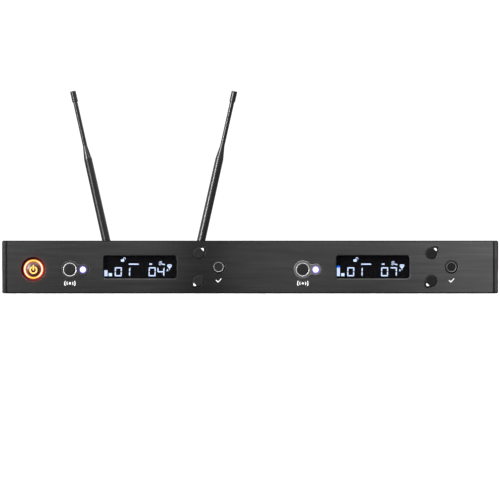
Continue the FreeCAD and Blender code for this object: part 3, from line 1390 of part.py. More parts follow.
def make_antenna_sockets():
    jacks = []
    inside = tray_rear - d.tray_sheet
    mouth = tray_rear + d.socket_reach
    for x in socket_x.values():
        barrel_start = inside - d.socket_flange_thickness
        flange = rod("y", x, barrel_start, middle, d.socket_flange, d.socket_flange_thickness)
        barrel = rod("y", x, barrel_start, middle, d.bushing_radius, mouth - barrel_start)
        tail = rod("y", x, barrel_start - d.socket_tail, middle, d.stem_radius, d.socket_tail + 1)
        lug = rod("z", x, mouth - d.lug_setback, middle - d.lug_tip, d.lug_radius, d.lug_tip * 2)
        bore_start = mouth - d.socket_bore_depth
        bore = rod("y", x, bore_start, middle, d.socket_bore, d.socket_bore_depth + 1)
        length = d.socket_insulator_length + 1
        insulator = ring("y", x, bore_start - 1, middle, d.socket_insulator, d.socket_contact, length)
        shell = cut(join(flange, barrel, tail, lug), bore)
        jacks.append(join(shell, insulator))
    node("bnc_jacks", group(*jacks))


# ---------------------------------------------------------------- antennas, drawn upright at the origin
def lean(side, obj):
    """Moves an upright antenna piece to its socket and leans it outwards."""
    turn = Rotation(Vector(0, SIDES[side], 0), d.antenna_lean.value)
    put(obj, socket_x[side], tray_rear, middle, turn)
    obj.setExpression("Placement.Rotation.Angle", d.antenna_lean.text)


def raise_to_hinge(side, obj):
    """Moves a piece drawn upright about the hinge axis to where the leaning antenna holds it."""
    lean(side, obj)
    obj.setExpression("Placement.Base.y", (tray_rear + hinge_y).text)


base_start = d.collar_start + d.collar_length + d.fit_play * 3
hinge_y = base_start + d.base_length + d.hinge_setback
fork_half = d.tongue_width / 2 + d.fit_play + d.ear_thickness


def make_collar(side):
    collar = Body(f"bayonet_collar_{side}")
    end = d.collar_start + d.collar_length
    collar.pad("XZ", d.collar_start, d.collar_length, circle(0, 0, d.collar_radius))
    bore_length = d.collar_length - d.collar_flange + 1
    collar.pocket("XZ", d.collar_start - 1, bore_length, circle(0, 0, d.collar_bore))
    collar.pocket("XZ", end - d.collar_flange - 1, d.collar_flange + 2, circle(0, 0, d.collar_neck))
    groove_start = end - d.knurl_inset - d.knurl_length
    groove = collar.pocket("XZ", groove_start, d.knurl_length, circle(0, d.collar_radius, d.knurl_radius))
    collar.repeat_about_y(groove, KNURLS)
    lean(side, collar.body)


def make_antenna_base(side):
    collar_end = d.collar_start + d.collar_length
    shoulder_end = collar_end - d.collar_flange - d.fit_play
    shoulder_start = shoulder_end - 1
    sleeve_start = d.collar_start + 0.6
    sleeve_length = shoulder_end - sleeve_start
    sleeve = ring("y", 0, sleeve_start, 0, d.plug_sleeve, d.plug_sleeve - d.plug_wall, sleeve_length)
    contact = rod("y", 0, sleeve_start + 0.6, 0, d.socket_contact - d.fit_play, sleeve_length)
    shoulder = rod("y", 0, shoulder_start, 0, d.plug_shoulder, shoulder_end - shoulder_start)
    neck = rod("y", 0, shoulder_start, 0, d.collar_neck - d.fit_play, base_start - shoulder_start + 1)
    body = rod("y", 0, base_start, 0, d.base_radius, d.base_length)
    ears = []
    for s in (-1, 1):
        inner = d.tongue_width / 2 + d.fit_play
        ear_x = (inner + d.ear_thickness / 2) * s
        ear_start = base_start + d.base_length - 1
        ear_length = hinge_y - ear_start
        ears.append(block(ear_x, ear_start, -d.ear_radius, d.ear_thickness, ear_length, d.ear_radius * 2))
        tip_x = inner if s > 0 else -fork_half
        ears.append(rod("x", tip_x, hinge_y, 0, d.ear_radius, d.ear_thickness))
    hole = rod("x", -fork_half - 1, hinge_y, 0, d.hinge_pin_radius, fork_half * 2 + 2)
    lean(side, node(f"antenna_base_{side}", cut(join(sleeve, contact, shoulder, neck, body, *ears), hole)))

    head = d.hinge_head_thickness
    pin = rod("x", -fork_half, hinge_y, 0, d.hinge_pin_radius, fork_half * 2)
    heads = [rod("x", x, hinge_y, 0, d.hinge_pin_head, head) for x in (fork_half, -fork_half - head)]
    lean(side, node(f"hinge_pin_{side}", join(pin, *heads)))


def make_whip(side):
    """The whip's three pieces, drawn upright about the hinge axis."""
    width = d.tongue_width
    tongue_round = rod("x", -width / 2, 0, 0, d.tongue_radius, width)
    tongue_block = block(0, -d.tongue_radius, 0, width, d.tongue_radius * 2, d.shoulder_height + 1)
    shoulder = rod("z", 0, 0, d.shoulder_height, d.whip_foot + 0.4, d.sheath_start - d.shoulder_height)
    spigot = rod("z", 0, 0, d.sheath_start - 1, d.spigot_radius, d.spigot_length + 1)
    hole = rod("x", -width, 0, 0, d.hinge_pin_radius + d.hinge_play, width * 2)
    knuckle = cut(join(tongue_round, tongue_block, shoulder, spigot), hole)
    raise_to_hinge(side, node(f"whip_knuckle_{side}", knuckle))

    sheath_top = d.whip_length - d.tip_length + d.tip_socket
    spigot_top = d.sheath_start + d.spigot_length
    outline = [
        (d.spigot_radius, d.sheath_start),
        (d.whip_foot, d.sheath_start),
        (d.whip_thick, d.taper_start),
        (d.whip_thin, d.taper_start + d.taper_length),
        (d.whip_thin, sheath_top),
        (0, sheath_top),
        (0, spigot_top),
        (d.spigot_radius, spigot_top),
    ]
    sheath = Body(f"whip_sheath_{side}")
    sheath.revolve(polygon(*outline))
    raise_to_hinge(side, sheath.body)

    tip_start = d.whip_length - d.tip_length
    tip_outline = [
        (d.whip_thin, tip_start),
        (d.tip_radius, tip_start),
        (d.tip_radius, d.whip_length),
        (0, d.whip_length),
        (0, sheath_top),
        (d.whip_thin, sheath_top),
    ]
    tip = Body(f"whip_tip_{side}")
    tip.revolve(polygon(*tip_outline))

    def outer_rim(edge, centre, box):
        wide = near(edge.BoundBox.XLength / 2, d.tip_radius.value)
        return wide and near(edge.BoundBox.ZLength, 0)

    tip.dress("Fillet", d.tip_edge, outer_rim)
    raise_to_hinge(side, tip.body)


# ---------------------------------------------------------------- build, check and write
def build():
    make_front_panel()
    make_base_tray()
    make_top_cover()
    make_power_control()
    for side in SIDES:
        make_end_cap(side)
        make_display_lens(side)
        make_display_module(side)
        make_sync_bezel(side)
        make_lamp(side)
        make_sync_button(side)
        make_arrow_button("up", side)
        make_arrow_button("down", side)
        make_set_button(side)
        make_collar(side)
        make_antenna_base(side)
        make_whip(side)
    make_control_board()
    make_main_board()
    make_shields()
    make_board_components()
    make_ribbon()
    make_fasteners()
    for number in xlr_x:
        make_xlr(number)
    make_xlr_pins()
    make_jack()
    make_power_inlet()
    make_antenna_sockets()
    doc.recompute()
    make_coax_leads()
    doc.recompute()


def check():
    """Stops if any object failed or any sub-part has no valid solid."""
    for obj in doc.Objects:
        if "Invalid" in obj.State or "Error" in obj.State:
            raise RuntimeError(f"{obj.Label} ({obj.Name}) failed: {obj.State}")
    for name, obj in NODES.items():
        shape = obj.Shape
        if shape.isNull() or not shape.isValid() or not shape.Solids:
            raise RuntimeError(f"{name} has no valid solid")


def write():
    os.makedirs("parts", exist_ok=True)
    for name, obj in sorted(NODES.items()):
        obj.Shape.exportStep(f"parts/{name}.step")
        box = obj.Shape.BoundBox
        low = ", ".join(f"{v:.2f}" for v in (box.XMin, box.YMin, box.ZMin))
        high = ", ".join(f"{v:.2f}" for v in (box.XMax, box.YMax, box.ZMax))
        print(f"{name}: {len(obj.Shape.Solids)} solids, {obj.Shape.Volume:.1f} mm3, ({low}) to ({high})")


build()
check()
write()
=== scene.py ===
import math

import bmesh
import bpy
from mathutils import Matrix, Vector


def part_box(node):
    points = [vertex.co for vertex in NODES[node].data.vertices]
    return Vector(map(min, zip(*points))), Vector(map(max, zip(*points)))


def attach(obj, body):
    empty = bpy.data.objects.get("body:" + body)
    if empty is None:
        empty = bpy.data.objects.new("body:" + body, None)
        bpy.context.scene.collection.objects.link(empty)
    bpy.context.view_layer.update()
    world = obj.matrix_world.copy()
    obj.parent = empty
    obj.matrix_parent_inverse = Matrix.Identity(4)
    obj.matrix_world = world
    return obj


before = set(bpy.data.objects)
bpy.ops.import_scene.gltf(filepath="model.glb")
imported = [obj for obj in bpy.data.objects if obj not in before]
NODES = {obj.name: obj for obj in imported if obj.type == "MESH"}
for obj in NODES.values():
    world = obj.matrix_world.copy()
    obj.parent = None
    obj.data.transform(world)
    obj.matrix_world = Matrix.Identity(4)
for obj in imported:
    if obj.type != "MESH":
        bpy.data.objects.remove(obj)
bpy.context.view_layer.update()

SIDES = ("left", "right")
MM = 0.001

# sizes that the frame doesn't give, where a ring is its outer and its inner radius
LENS_FLANGE = 1.6 * MM
CAP_FLANGE = 0.9 * MM
CAP_RADIUS = {"sync": 4.83 * MM, "up": 4.75 * MM, "down": 4.75 * MM, "set": 5.35 * MM}
SYNC_RING = (5.95 * MM, 4.95 * MM)
SET_RING = (4.3 * MM, 3.7 * MM)
LIT_RING_GAP = 0.15 * MM
DISH_RADIUS = 10 * MM
LAMP_RADIUS = 2.6 * MM
MARK_DEPTH = 0.06 * MM
MARK_LIFT = 0.03 * MM


# ---------------------------------------------------------------- places, all from the frame
def middle(node):
    """The centre of a CAD node's box."""
    low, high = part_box(node)
    return (low + high) / 2


def half_width(node):
    """Half of a CAD node's size along X."""
    low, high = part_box(node)
    return (high.x - low.x) / 2


PANEL_LOW, PANEL_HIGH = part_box("front_panel")
FACE_Y = PANEL_LOW.y
PANEL_MIDDLE = (PANEL_LOW.z + PANEL_HIGH.z) / 2
PANEL_HALF = (PANEL_HIGH.z - PANEL_LOW.z) / 2
PANEL_END = PANEL_HIGH.x
FRONT_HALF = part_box("end_cap_right")[1].x
REAR_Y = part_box("base_tray")[1].y
POWER_RADIUS = half_width("power_button") - CAP_FLANGE
LIT_RING = (half_width("power_light_ring"), POWER_RADIUS + LIT_RING_GAP)


# ---------------------------------------------------------------- shader graphs
def add_node(tree, kind, settings=None, **inputs):
    """Adds a shader node; inputs are values or outputs to link, named by socket or by number as n0, n1."""
    made = tree.nodes.new(f"ShaderNode{kind}")
    for name, value in (settings or {}).items():
        setattr(made, name, value)
    for name, value in inputs.items():
        key = int(name[1:]) if name[0] == "n" and name[1:].isdigit() else name.replace("_", " ")
        if isinstance(value, bpy.types.NodeSocket):
            tree.links.new(value, made.inputs[key])
        else:
            made.inputs[key].default_value = value
    return made


class Graph:
    """A material's node graph, with a Principled shader whose constants are set on its own sockets."""

    def __init__(self, name, **sockets):
        self.material = bpy.data.materials.new(name)
        self.material.use_nodes = True
        self.tree = self.material.node_tree
        self.shader = self.tree.nodes["Principled BSDF"]
        self.place = None
        for socket, value in sockets.items():
            self.shader.inputs[socket.replace("_", " ")].default_value = value

    def add(self, kind, settings=None, **inputs):
        return add_node(self.tree, kind, settings, **inputs)

    def link(self, output, socket):
        self.tree.links.new(output, self.shader.inputs[socket])

    # places
    def position(self, scale=(1, 1, 1), shift=(0, 0, 0)):
        """Object coordinates in metres, which are the row frame, moved and then scaled."""
        if self.place is None:
            self.place = self.add("TexCoord").outputs["Object"]
        shifted = self.add("VectorMath", {"operation": "ADD"}, n0=self.place, n1=shift).outputs[0]
        return self.add("VectorMath", {"operation": "MULTIPLY"}, n0=shifted, n1=scale).outputs[0]

    def panel_place(self):
        """X, Y and Z in metres, with Z measured from the panel's middle height."""
        return self.add("SeparateXYZ", Vector=self.position(shift=(0, 0, -PANEL_MIDDLE))).outputs

    def offset(self, centre):
        """Each point's place beside a centre on the front, seen square on."""
        return self.position((1, 0, 1), (-centre.x, 0, -centre.z))

    def reach(self, centre):
        """How far each point is from a centre on the front, seen square on."""
        return self.add("VectorMath", {"operation": "LENGTH"}, n0=self.offset(centre)).outputs["Value"]

    def towards(self, centre, way):
        """How far each point lies beyond a centre on the front, in the direction way."""
        made = self.add("VectorMath", {"operation": "DOT_PRODUCT"}, n0=self.offset(centre), n1=way)
        return made.outputs["Value"]

    def chamfer(self):
        """1 on the bevels round the front's outer edges, and 0 elsewhere."""
        place = self.panel_place()
        top = self.rise(place["Z"], PANEL_HALF - 0.95 * MM, PANEL_HALF - 0.75 * MM)
        bottom = self.spread(place["Z"], 1.0, 0.0, start=0.9 * MM - PANEL_HALF, end=1.2 * MM - PANEL_HALF)
        ends = self.rise(self.math("ABSOLUTE", place["X"]), FRONT_HALF - 1.5 * MM, FRONT_HALF - 1.1 * MM)
        outer = self.math("MAXIMUM", self.math("MAXIMUM", top, bottom), ends)
        in_front = self.spread(place["Y"], 1.0, 0.0, start=FACE_Y + 0.8 * MM, end=FACE_Y + 1.0 * MM)
        return self.product(outer, in_front)

    # values and colours
    def noise(self, scale, detail=4.0, roughness=0.55):
        """Noise whose cell sizes along X, Y and Z are one over scale, in metres."""
        place = self.position(scale)
        made = self.add("TexNoise", Vector=place, Scale=1.0, Detail=detail, Roughness=roughness)
        return made.outputs["Fac"]

    def spread(self, value, low, high, start=0.3, end=0.7):
        """value from start to end, as low to high."""
        made = self.add("MapRange", Value=value, From_Min=start, From_Max=end, To_Min=low, To_Max=high)
        return made.outputs["Result"]

    def rise(self, value, start, end):
        """0 while value is below start, 1 once it is past end."""
        return self.spread(value, 0.0, 1.0, start=start, end=end)

    def math(self, operation, a, b=0.0):
        return self.add("Math", {"operation": operation}, n0=a, n1=b).outputs[0]

    def product(self, a, b):
        return self.math("MULTIPLY", a, b)

    def weighed(self, first, second, share):
        """A share of first, and the rest of second."""
        return self.math("ADD", self.product(first, share), self.product(second, 1 - share))

    def ramp(self, value, stops):
        """A colour ramp over stops of (place, colour)."""
        made = self.add("ValToRGB", Fac=value)
        elements = made.color_ramp.elements
        while len(elements) < len(stops):
            elements.new(0.5)
        for element, (place, colour) in zip(elements, stops):
            element.position = place
            element.color = (*colour, 1)
        return made.outputs["Color"]

    def tones(self, value, dark, light, start=0.3, end=0.7):
        """The colour dark where value is at start, and light where it is at end."""
        return self.ramp(value, [(start, dark), (end, light)])

    def mixed(self, share, first, second):
        """first where share is 0, second where it is 1."""
        return self.add("Mix", {"data_type": "RGBA"}, n0=share, n6=first, n7=second).outputs[2]

    def scaled(self, colour, factor):
        return self.add("VectorMath", {"operation": "SCALE"}, n0=colour, Scale=factor).outputs[0]

    # effects on the shader
    def relief(self, height, distance, strength=1.0, edge=0.0):
        """Bump from a height, over edges softened by the edge radius."""
        bump = self.add("Bump", Height=height, Distance=distance, Strength=strength)
        if edge:
            soft = self.add("Bevel", {"samples": 4}, Radius=edge)
            self.tree.links.new(soft.outputs["Normal"], bump.inputs["Normal"])
        self.link(bump.outputs["Normal"], "Normal")

    def glow(self, centre, stops, outer):
        """Emission round a centre, a lamp's own or painted light: stops of (distance over outer, colour)."""
        self.link(self.ramp(self.math("DIVIDE", self.reach(centre), outer), stops), "Emission Color")


def grey(value):
    return (value, value, value, 1)


def mottled(
    name, dark, light, scale, roughness, bump=0.0, edge=0.0, detail=4.0, strength=1.0, **sockets
):
    """A finish whose colour, roughness and relief wander with one noise; roughness is a pair."""
    graph = Graph(name, **sockets)
    grain = graph.noise(scale, detail=detail)
    graph.link(graph.tones(grain, dark, light), "Base Color")
    graph.link(graph.spread(grain, *roughness), "Roughness")
    if bump or edge:
        graph.relief(grain, bump, strength=strength, edge=edge)
    return graph


def cube_scale(cells_per_metre):
    return (cells_per_metre,) * 3


# ---------------------------------------------------------------- materials: the case and front
def brushed_anodised(name, lit_by=None, tone=1.0):
    """Dark anodised aluminium brushed along X: fine streaks, and a few longer, fainter ones."""
    graph = Graph(
        name, Specular_IOR_Level=0.0, Anisotropic=0.75, Anisotropic_Rotation=0.25,
        Emission_Strength=0.0 if lit_by is None else 0.6,
    )
    fine = graph.noise((26, 900, 4200), detail=3.0)
    broad = graph.noise((16, 300, 520), detail=4.0)
    cloud = graph.noise((16, 16, 60), detail=3.0)
    streaks = graph.weighed(fine, broad, 0.6)
    depth = graph.weighed(streaks, cloud, 0.7)
    dark, light = 0.150 * tone, 0.243 * tone
    metal = graph.tones(depth, (dark, dark, dark * 1.01), (light, light, light * 1.01), 0.34, 0.66)
    # painted light: the metal's tone times the panel's painted sheen
    painted_sheen_metal = graph.add("VectorMath", {"operation": "MULTIPLY"}, n0=metal, n1=painted_panel_sheen(graph)).outputs[0]
    # painted shade: the bevels round the front's outer edges are near black and not metallic
    chamfer = graph.chamfer()
    graph.link(graph.mixed(chamfer, painted_sheen_metal, grey(0.008)), "Base Color")
    graph.link(graph.math("SUBTRACT", 1.0, chamfer), "Metallic")
    graph.link(graph.spread(streaks, 0.38, 0.48), "Roughness")
    graph.link(graph.add("Tangent", {"direction_type": "RADIAL", "axis": "Z"}).outputs[0], "Tangent")
    graph.relief(fine, 0.010 * MM, strength=0.5, edge=0.3 * MM)
    # painted light: the power ring's red glow on the panel round it, as emission
    if lit_by is not None:
        painted_red_light = [
            (0.0, (0, 0, 0)), (0.67, (0.10, 0.008, 0.005)), (0.72, (0.045, 0.005, 0.003)),
            (0.82, (0.018, 0.002, 0.001)), (1.0, (0, 0, 0)),
        ]
        painted_light_reach = 15 * MM
        graph.glow(lit_by, painted_red_light, painted_light_reach)
    return graph.material


def painted_panel_sheen(graph):
    """Painted light on the panel: brighter and darker bands along it that stand in for reflections, and a
    little lighter from bottom to top.
    """
    # mm along X from the panel's middle, and the painted brightness there
    tones = [
        (-205, 0.62), (-150, 0.46), (-95, 0.55), (-60, 0.35), (-38, 0.22), (-15, 0.42), (12, 0.50),
        (50, 0.58), (100, 0.42), (150, 0.66), (205, 0.80),
    ]
    stops = [((x * MM / FRONT_HALF + 1) / 2, (tone, tone, tone)) for x, tone in tones]
    place = graph.panel_place()
    along = graph.ramp(graph.rise(place["X"], -FRONT_HALF, FRONT_HALF), stops)
    along.node.color_ramp.interpolation = "B_SPLINE"
    # painted light: the panel is lighter towards its top than its bottom
    level = graph.spread(place["Z"], 0.88, 1.12, start=-PANEL_HALF, end=PANEL_HALF)
    # painted shade: the panel darkens in its last millimetre at each end, by the groove, and the end caps
    # beyond are lighter again
    from_middle = graph.math("ABSOLUTE", place["X"])
    rim = graph.spread(from_middle, 1.0, 0.3, start=PANEL_END - 0.9 * MM, end=PANEL_END - 0.4 * MM)
    beyond = graph.spread(from_middle, 0.0, 0.7, start=PANEL_END + 0.2 * MM, end=PANEL_END + 0.4 * MM)
    return graph.scaled(along, graph.product(level, graph.math("ADD", rim, beyond)))


def powder_coat():
    """Black powder coat on sheet steel: orange-peel grain, with a little wear in its sheen."""
    graph = Graph("powder_coat", Specular_IOR_Level=0.45)
    grain = graph.noise(cube_scale(2600), detail=3.0)
    patches = graph.noise(cube_scale(26), detail=4.0)
    tone = graph.weighed(grain, patches, 0.6)
    graph.link(graph.tones(tone, (0.010, 0.010, 0.011), (0.024, 0.024, 0.026), 0.35, 0.66), "Base Color")
    graph.link(graph.spread(tone, 0.44, 0.62), "Roughness")
    graph.relief(grain, 0.05 * MM, strength=0.6, edge=0.35 * MM)
    return graph.material


def satin_plastic():
    """The whips' satin black moulding, with faint flow marks along it."""
    graph = Graph("antenna_plastic", Specular_IOR_Level=0.66)
    grain = graph.noise(cube_scale(1500), detail=3.0)
    flow = graph.noise((160, 160, 22), detail=3.0)
    graph.link(graph.tones(flow, (0.008, 0.008, 0.009), (0.013, 0.013, 0.014)), "Base Color")
    graph.link(graph.spread(grain, 0.27, 0.34), "Roughness")
    graph.relief(grain, 0.004 * MM, strength=0.4, edge=0.2 * MM)
    return graph.material


def circuit_board():
    """Green solder mask with traces under it."""
    graph = Graph("solder_mask", Specular_IOR_Level=0.5)
    place = graph.position(cube_scale(180))
    traces = graph.add("TexVoronoi", {"distance": "MANHATTAN"}, Vector=place, Scale=1.0).outputs["Distance"]
    graph.link(graph.tones(traces, (0.008, 0.10, 0.045), (0.02, 0.2, 0.09), 0.35, 0.5), "Base Color")
    graph.link(graph.spread(traces, 0.25, 0.4), "Roughness")
    return graph.material


# ---------------------------------------------------------------- materials: buttons, rings and lamps
def cap_centre(node, radius):
    """The centre of a push button's round face. An arrow button's box also holds its lobe."""
    low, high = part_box(node)
    inset = radius + CAP_FLANGE
    if node.startswith("up"):
        return Vector((low.x + inset, 0, low.z + inset))
    if node.startswith("down"):
        return Vector((high.x - inset, 0, high.z - inset))
    return middle(node)


def gloss_button(node, radius, tone):
    """A push button's black, with fine handling marks in its polish, and painted shade on its lower right
    rim.
    """
    graph = Graph(f"{node}_gloss", Specular_IOR_Level=0.30)
    marks = graph.noise((900, 900, 260), detail=5.0)
    dark, light = tone * 0.85, tone * 1.15
    face = graph.tones(marks, (dark, dark, dark * 1.05), (light, light, light * 1.05))
    centre = cap_centre(node, radius)
    rim = graph.rise(graph.reach(centre), radius - 0.75 * MM, radius - 0.5 * MM)
    # painted shade: the rim darkened towards the lower right
    painted_lower_right = graph.rise(graph.towards(centre, (0.6, 0, -0.8)), -2 * MM, 3 * MM)
    graph.link(graph.mixed(graph.product(rim, painted_lower_right), face, grey(0.002)), "Base Color")
    polish = graph.spread(marks, 0.30, 0.36)
    graph.link(graph.math("ADD", polish, graph.product(rim, 0.5)), "Roughness")
    graph.relief(marks, 0.002 * MM, strength=0.4, edge=0.12 * MM)
    return graph.material


def bright_ring(node, radii, tone):
    """A satin metal ring with a rounded face, and painted shade on its outer bevel."""
    outer, inner = radii
    graph = Graph(f"{node}_bright", Metallic=1.0)
    grain = graph.noise(cube_scale(900), detail=3.0)
    dark, light = (tone * 0.94, tone * 0.94, tone * 0.95), (tone * 1.06, tone * 1.06, tone * 1.07)
    face = graph.tones(grain, dark, light)
    reach = graph.reach(middle(node))
    # painted shade: the ring's outer bevel darkened
    bevel = graph.rise(reach, outer - 0.32 * MM, outer - 0.12 * MM)
    graph.link(graph.mixed(bevel, face, grey(tone * 0.15)), "Base Color")
    graph.link(graph.spread(grain, 0.46, 0.54), "Roughness")
    off = graph.math("SUBTRACT", reach, (outer + inner) / 2)
    crown = graph.product(graph.product(off, off), -0.7 / (outer - inner))
    graph.relief(crown, 1.0, edge=0.1 * MM)
    return graph.material


def sync_lamp(side):
    """A sync lamp: a white core inside a violet rim."""
    graph = Graph(
        f"sync_lamp_{side}", Base_Color=(0.5, 0.45, 0.8, 1), Roughness=0.25, Specular_IOR_Level=0.4,
        Emission_Strength=1.25,
    )
    stops = [
        (0.0, (1.0, 1.0, 1.0)), (0.66, (0.93, 0.9, 1.0)), (0.88, (0.40, 0.30, 0.95)),
        (1.0, (0.22, 0.13, 0.8)),
    ]
    graph.glow(middle(f"sync_lamp_{side}"), stops, LAMP_RADIUS)
    return graph.material


def sync_bezel(side):
    """Satin grey metal, with the sync lamp's violet light painted round it."""
    # painted light: the right bezel is a lighter copy of the left one, for how the light falls
    tone = {"left": 0.072, "right": 0.225}[side]
    dark, light = (tone * 0.9, tone * 0.9, tone * 0.91), (tone * 1.1, tone * 1.1, tone * 1.11)
    graph = mottled(
        f"sync_bezel_{side}", dark, light, cube_scale(1200), (0.42, 0.48), 0.003 * MM, 0.15 * MM,
        Metallic=1.0, Emission_Strength=0.7,
    )
    # painted light: the lamp's violet glow on the bezel, as emission
    stops = [(0.0, (0.3, 0.2, 0.9)), (0.62, (0.20, 0.13, 0.75)), (0.8, (0.03, 0.02, 0.10)), (1.0, (0, 0, 0))]
    painted_light_reach = 4.2 * MM
    graph.glow(middle(f"sync_lamp_{side}"), stops, painted_light_reach)
    return graph.material


def lit_ring():
    """The ring round the power button: near-white in its middle and red at its rims, and yellower above and
    below than at its sides."""
    graph = Graph(
        "power_light", Base_Color=(0.30, 0.10, 0.03, 1), Roughness=0.35, Specular_IOR_Level=0.1,
        Emission_Strength=1.5,
    )
    at_sides = [
        (0.0, (0.50, 0.030, 0.018)), (0.18, (0.78, 0.16, 0.08)), (0.36, (0.94, 0.84, 0.60)),
        (0.60, (0.96, 0.90, 0.66)), (0.74, (0.90, 0.20, 0.08)), (0.86, (0.78, 0.035, 0.012)),
        (1.0, (0.46, 0.008, 0.004)),
    ]
    above_and_below = [
        (0.0, (0.07, 0.006, 0.003)), (0.18, (0.20, 0.06, 0.014)), (0.38, (0.74, 0.66, 0.075)),
        (0.56, (0.78, 0.64, 0.075)), (0.70, (0.42, 0.13, 0.016)), (0.84, (0.09, 0.008, 0.003)),
        (1.0, (0.03, 0.002, 0.001)),
    ]
    centre = middle("power_light_ring")
    outer, inner = LIT_RING
    share = graph.rise(graph.reach(centre), inner, outer)
    way = graph.add("VectorMath", {"operation": "NORMALIZE"}, n0=graph.offset(centre)).outputs[0]
    across = graph.add("SeparateXYZ", Vector=way).outputs["X"]
    sideways = graph.rise(graph.product(across, across), 0.08, 0.6)
    light = graph.mixed(sideways, graph.ramp(share, above_and_below), graph.ramp(share, at_sides))
    graph.link(light, "Emission Color")
    return graph.material


def power_bezel():
    """The dish round the lit ring: black, with the ring's red light painted in it, strongest at its lower
    right.
    """
    graph = mottled(
        "power_bezel_gloss", (0.003, 0.002, 0.002), (0.006, 0.005, 0.005), cube_scale(1500), (0.38, 0.50),
        0.004 * MM, 0.1 * MM, detail=3.0, strength=0.4, Specular_IOR_Level=0.03, Emission_Strength=1.0,
    )
    centre = middle("power_light_ring")
    stops = [
        (0.0, (0.4, 0.04, 0.01)), (0.85, (0.40, 0.035, 0.014)), (0.93, (0.22, 0.022, 0.012)),
        (1.0, (0.12, 0.020, 0.014)),
    ]
    light = graph.ramp(graph.math("DIVIDE", graph.reach(centre), DISH_RADIUS), stops)
    # painted light: the red glow fades out from the lower right
    painted_lower_right = graph.spread(graph.towards(centre, (0.8, 0, -0.6)), 0.05, 1.0, start=-6 * MM, end=8 * MM)
    graph.link(graph.scaled(light, painted_lower_right), "Emission Color")
    return graph.material


def power_cap():
    """The power button: smoked gloss, slightly domed, with a painted red glow and a painted sheen near its
    top.
    """
    graph = Graph("power_cap_gloss", Specular_IOR_Level=0.4, Emission_Strength=0.8)
    marks = graph.noise((900, 900, 260), detail=5.0)
    graph.link(graph.tones(marks, (0.012, 0.010, 0.010), (0.022, 0.018, 0.018)), "Base Color")
    graph.link(graph.spread(marks, 0.24, 0.36), "Roughness")
    centre = middle("power_button")
    reach = graph.reach(centre)
    dome = graph.product(graph.product(reach, reach), -40.0)
    graph.relief(dome, 1.0, edge=0.12 * MM)
    # painted light: emission rising towards the top as a painted sheen, and a painted red glow on the upper
    # rim
    height = graph.rise(graph.towards(centre, (-0.5, 0, 0.87)), -POWER_RADIUS, POWER_RADIUS)
    stops = [
        (0.0, (0.020, 0.001, 0.001)), (0.4, (0.050, 0.004, 0.005)), (0.7, (0.15, 0.070, 0.068)),
        (1.0, (0.22, 0.11, 0.10)),
    ]
    rim = graph.product(graph.rise(reach, POWER_RADIUS - 1.2 * MM, POWER_RADIUS), height)
    graph.link(graph.mixed(rim, graph.ramp(height, stops), (0.62, 0.16, 0.09, 1)), "Emission Color")
    return graph.material


def lit_mark(name, colour, strength):
    """A lit character of a display: a colour that is a little uneven, as a backlight is."""
    dim = tuple(c * 0.8 for c in colour)
    graph = Graph(
        name, Base_Color=(*dim, 1), Roughness=0.5, Specular_IOR_Level=0.1, Emission_Strength=strength,
    )
    graph.link(graph.tones(graph.noise(cube_scale(420), detail=2.0), dim, colour), "Emission Color")
    return graph.material


# ---------------------------------------------------------------- materials: which piece has which
# dark and light colours, and the range of roughness
METALS = {
    "nickel": ((0.50, 0.48, 0.44), (0.62, 0.60, 0.56), (0.20, 0.34)),
    "zinc": ((0.45, 0.45, 0.44), (0.62, 0.61, 0.58), (0.30, 0.46)),
    "tinplate": ((0.55, 0.55, 0.53), (0.68, 0.68, 0.66), (0.24, 0.40)),
    "gold": ((0.72, 0.48, 0.16), (0.85, 0.60, 0.24), (0.18, 0.30)),
    "black_steel": ((0.03, 0.03, 0.031), (0.055, 0.055, 0.057), (0.30, 0.44)),
}
PLASTICS = {
    "moulded": ((0.010, 0.010, 0.010), (0.020, 0.020, 0.021), (0.42, 0.56)),
    "chip": ((0.012, 0.012, 0.012), (0.03, 0.03, 0.03), (0.5, 0.65)),
    "ribbon": ((0.30, 0.30, 0.29), (0.42, 0.42, 0.40), (0.45, 0.6)),
    "coax": ((0.010, 0.010, 0.010), (0.022, 0.022, 0.022), (0.5, 0.65)),
}


